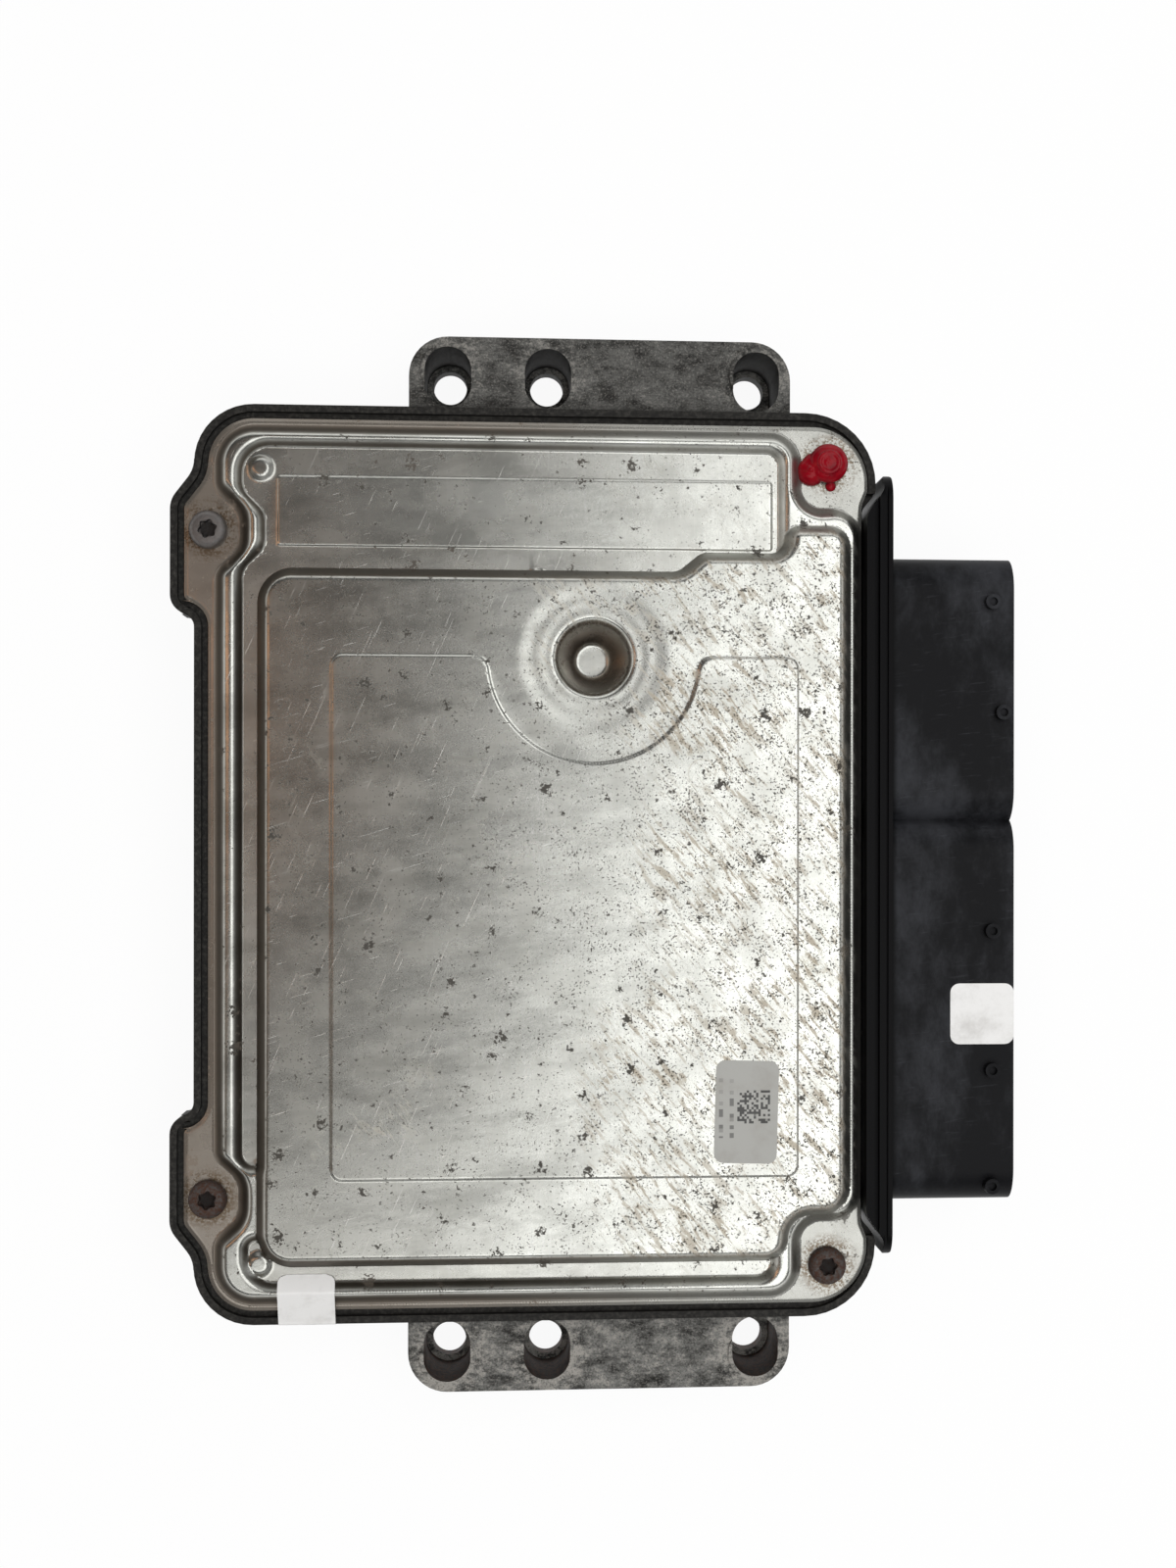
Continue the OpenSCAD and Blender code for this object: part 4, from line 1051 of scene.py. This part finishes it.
class StickLabels(bpy.types.Operator):
    """Stick the three plain labels on"""

    bl_idname = "unit.stick_labels"
    bl_label = "Stick the labels on"

    def execute(self, context):
        sizes = context.scene.unit_sizes
        colours = context.scene.unit_colours
        thickness = sizes.label / MM
        form = CoverForm(sizes)
        clear = 0.06
        white = paper_finish("white_label", colours.paper, (0.5, 0.49, 0.47)).material
        low, high = box_mm("edge_label")
        path = draped_path(form, (low.x + high.x) / 2, clear)
        sticker("sticker_edge", path, Vector((high.x - low.x, 0, 0)), thickness, white, "edge_label")
        low, high = box_mm("header_label")
        middle = (low.y + high.y) / 2
        path = straight_path(Vector((low.x, middle, low.z)), Vector((high.x, middle, low.z)))
        sticker("sticker_header", path, Vector((0, high.y - low.y, 0)), thickness, white, "header_label")
        low, high = box_mm("trace_label")
        centre = (low + high) / 2
        turn = math.radians(-1.5)
        along = Vector((-math.sin(turn), math.cos(turn), 0.0)) * 10.0
        across = Vector((math.cos(turn), math.sin(turn), 0.0)) * 12.3
        base = Vector((centre.x, centre.y, low.z))
        grey = code_finish(colours, (centre.x + 1.4, centre.y + 1.0), 0.46, (3.22, 3.22))
        path = straight_path(base - along, base + along)
        sticker("sticker_trace", path, across, thickness, grey, "trace_label")
        return {"FINISHED"}


class FinishContacts(bpy.types.Operator):
    """Give the contact pins, their carriers and the seals their finishes"""

    bl_idname = "unit.finish_contacts"
    bl_label = "Finish contacts and seals"

    def execute(self, context):
        tin = plain_finish("contact_metal", (0.72, 0.69, 0.6), (0.6, 0.56, 0.46), 3.0, 0.25, 0.9)
        carrier = plain_finish("carrier_plastic", (0.02, 0.02, 0.022), (0.035, 0.035, 0.038), 5.0, 0.45)
        sealant = plain_finish("sealant", (0.1, 0.1, 0.105), (0.16, 0.16, 0.165), 4.0, 0.6)
        for material, nodes in (
            (tin, ("signal_pins_small", "signal_pins_large", "power_pins_large")),
            (carrier, ("pin_carrier_small", "pin_carrier_large")),
            (sealant, ("cover_seal", "header_seal")),
        ):
            for node in nodes:
                dress(node, material)
        return {"FINISHED"}


class FinishElectronics(bpy.types.Operator):
    """Give the circuit board and what sits on it their finishes"""

    bl_idname = "unit.finish_electronics"
    bl_label = "Finish the electronics"

    def execute(self, context):
        chip = plain_finish("chip_plastic", (0.03, 0.03, 0.032), (0.045, 0.045, 0.047), 2.0, 0.5)
        zinc = plain_finish("zinc_steel", (0.55, 0.55, 0.55), (0.45, 0.45, 0.44), 2.0, 0.3, 0.9)
        finishes = {
            "circuit_board": plain_finish("board_laminate", (0.02, 0.13, 0.05), (0.03, 0.17, 0.07), 6.0, 0.35),
            "storage_capacitors": plain_finish("capacitor_can", (0.3, 0.3, 0.32), (0.4, 0.4, 0.41), 5.0, 0.3, 0.8),
            "boost_choke": plain_finish("ferrite", (0.08, 0.08, 0.085), (0.12, 0.12, 0.12), 2.0, 0.6),
            "ceramic_capacitors": plain_finish("capacitor_ceramic", (0.5, 0.38, 0.24), (0.42, 0.3, 0.18), 1.0, 0.5),
            "thermal_pads": plain_finish("thermal_rubber", (0.35, 0.4, 0.46), (0.42, 0.46, 0.5), 3.0, 0.7),
            "vent_membrane": plain_finish("membrane", (0.7, 0.7, 0.69), (0.62, 0.62, 0.6), 2.0, 0.6),
            "board_screws": zinc,
            "quartz": zinc,
        }
        for node in ("microcontroller", "flash_memory", "driver_chips", "power_transistors", "pressure_sensor"):
            finishes[node] = chip
        for node, material in finishes.items():
            dress(node, material)
        return {"FINISHED"}


# Stage

def soft_box(name, place, aim, size, radiance, tint=(1.0, 1.0, 1.0), glossy=True, turn=0.0):
    """A rectangular lamp of even radiance that faces a place."""
    lamp = bpy.data.lights.new(name, "AREA")
    lamp.shape = "RECTANGLE"
    lamp.size, lamp.size_y = size
    lamp.energy = radiance * math.pi * size[0] * size[1]
    lamp.color = tint
    holder = bpy.data.objects.new(name, lamp)
    holder.location = place
    facing = (Vector(aim) - Vector(place)).to_track_quat("-Z", "Y")
    holder.rotation_euler = (facing @ Quaternion((0.0, 0.0, 1.0), math.radians(turn))).to_euler()
    holder.visible_glossy = glossy
    bpy.context.scene.collection.objects.link(holder)


def floor_material(tone):
    """A pale floor and backdrop that read white to the camera and keep a faint shadow."""
    finish = Finish("floor")
    finish.set(Base_Color=tone, Roughness=0.9)
    seen, in_gloss, through = (
        finish.add("ShaderNodeLightPath", None, None, f"Is {ray} Ray") for ray in ("Camera", "Glossy", "Transmission")
    )
    share = seen.most(in_gloss).most(through) * 0.93
    white = finish.add("ShaderNodeEmission", None, {"Color": (1.0, 1.0, 1.0), "Strength": 1.0})
    surface = Wire(finish, finish.shader.outputs[0])
    finish.put(finish.output.inputs[0], finish.add("ShaderNodeMixShader", None, {0: share, 1: surface, 2: white}))
    return finish.material


class SetStage(bpy.types.Operator):
    """Set the floor, the lamps, the world and the camera"""

    bl_idname = "unit.set_stage"
    bl_label = "Set the stage"

    def execute(self, context):
        scene = context.scene
        scene.view_settings.view_transform = "Standard"
        half, wall = 4.0, 1.6
        around = [(-half, -half), (half, -half), (half, half), (-half, half)]
        corners = [(x, y, z) for z in (0.0, wall) for x, y in around]
        walls = [(k, k + 4, (k + 1) % 4 + 4, (k + 1) % 4) for k in range(4)]
        mesh = bpy.data.meshes.new("floor")
        mesh.from_pydata(corners, [], [(0, 1, 2, 3)] + walls)
        floor = bpy.data.objects.new("floor", mesh)
        floor.location.z = -0.0003
        mesh.materials.append(floor_material(scene.unit_colours.floor))
        scene.collection.objects.link(floor)
        world = bpy.data.worlds.new("studio")
        world.use_nodes = True
        world.node_tree.nodes["Background"].inputs["Color"].default_value = (0.06, 0.06, 0.06, 1.0)
        scene.world = world
        soft_box("key", (0.287, -0.1, 1.0), (0.287, -0.1, 0.0), (0.54, 1.3), 1.56, turn=-10.0)
        soft_box("low", (-0.2, -0.45, 1.0), (-0.2, -0.45, 0.0), (0.5, 0.4), 1.35)
        soft_box("fill", (0.1, 0.0, 1.5), (0.0, 0.0, 0.0), (1.6, 1.6), 2.05, glossy=False)
        middle = (0.0, 0.0, 0.03)
        soft_box("left", (-0.7, 0.0, 0.4), middle, (0.6, 0.9), 0.11, (1.0, 0.84, 0.7))
        soft_box("amber", (-0.45, 0.1, 0.7), middle, (0.1, 0.6), 1.0, (1.0, 0.5, 0.25))
        soft_box("right", (0.62, 0.0, 0.42), middle, (0.6, 1.1), 0.24)
        soft_box("back", (0.1, 0.75, 0.42), middle, (1.1, 0.55), 0.58)
        soft_box("front", (0.15, -0.75, 0.4), middle, (1.0, 0.5), 0.18)
        camera = bpy.data.cameras.new("photo_view")
        camera.lens = 51.5
        camera.sensor_width = 36.0
        camera.shift_x = -0.0668
        camera.shift_y = 0.0379
        holder = bpy.data.objects.new("photo_view", camera)
        holder.location = (-0.017, 0.00473, 0.46948)
        holder.rotation_euler = (math.radians(-0.074), math.radians(-4.676), math.radians(0.063))
        scene.collection.objects.link(holder)
        scene.camera = holder
        return {"FINISHED"}


STEPS = (
    PressCover, FinishCase, FinishHeader, DriveScrews, SealScrew, StickLabels, FinishContacts, FinishElectronics,
    SetStage,
)


class UnitPanel(bpy.types.Panel):
    """Sizes, colours and steps of the control unit"""

    bl_idname = "VIEW3D_PT_control_unit"
    bl_label = "Control unit"
    bl_space_type = "VIEW_3D"
    bl_region_type = "UI"
    bl_category = "Control unit"

    def draw(self, context):
        layout = self.layout
        for group in (context.scene.unit_sizes, context.scene.unit_colours):
            box = layout.box()
            for key in group.bl_rna.properties.keys():
                if key not in ("rna_type", "name"):
                    box.prop(group, key)
        for step in STEPS:
            layout.operator(step.bl_idname)


CLASSES = (UnitSizes, UnitColours, *STEPS, UnitPanel)


def register():
    """Registers the classes and hangs the settings on the scene."""
    for cls in CLASSES:
        bpy.utils.register_class(cls)
    bpy.types.Scene.unit_sizes = bpy.props.PointerProperty(type=UnitSizes)
    bpy.types.Scene.unit_colours = bpy.props.PointerProperty(type=UnitColours)


def unregister():
    """Takes the settings and the classes away again."""
    del bpy.types.Scene.unit_colours
    del bpy.types.Scene.unit_sizes
    for cls in reversed(CLASSES):
        bpy.utils.unregister_class(cls)


def main():
    """Builds the pieces in order."""
    register()
    bpy.ops.unit.press_cover()
    bpy.ops.unit.finish_case()
    bpy.ops.unit.finish_header()
    bpy.ops.unit.drive_screws()
    bpy.ops.unit.seal_screw()
    bpy.ops.unit.stick_labels()
    bpy.ops.unit.finish_contacts()
    bpy.ops.unit.finish_electronics()
    bpy.ops.unit.set_stage()


if __name__ == "__main__":
    main()
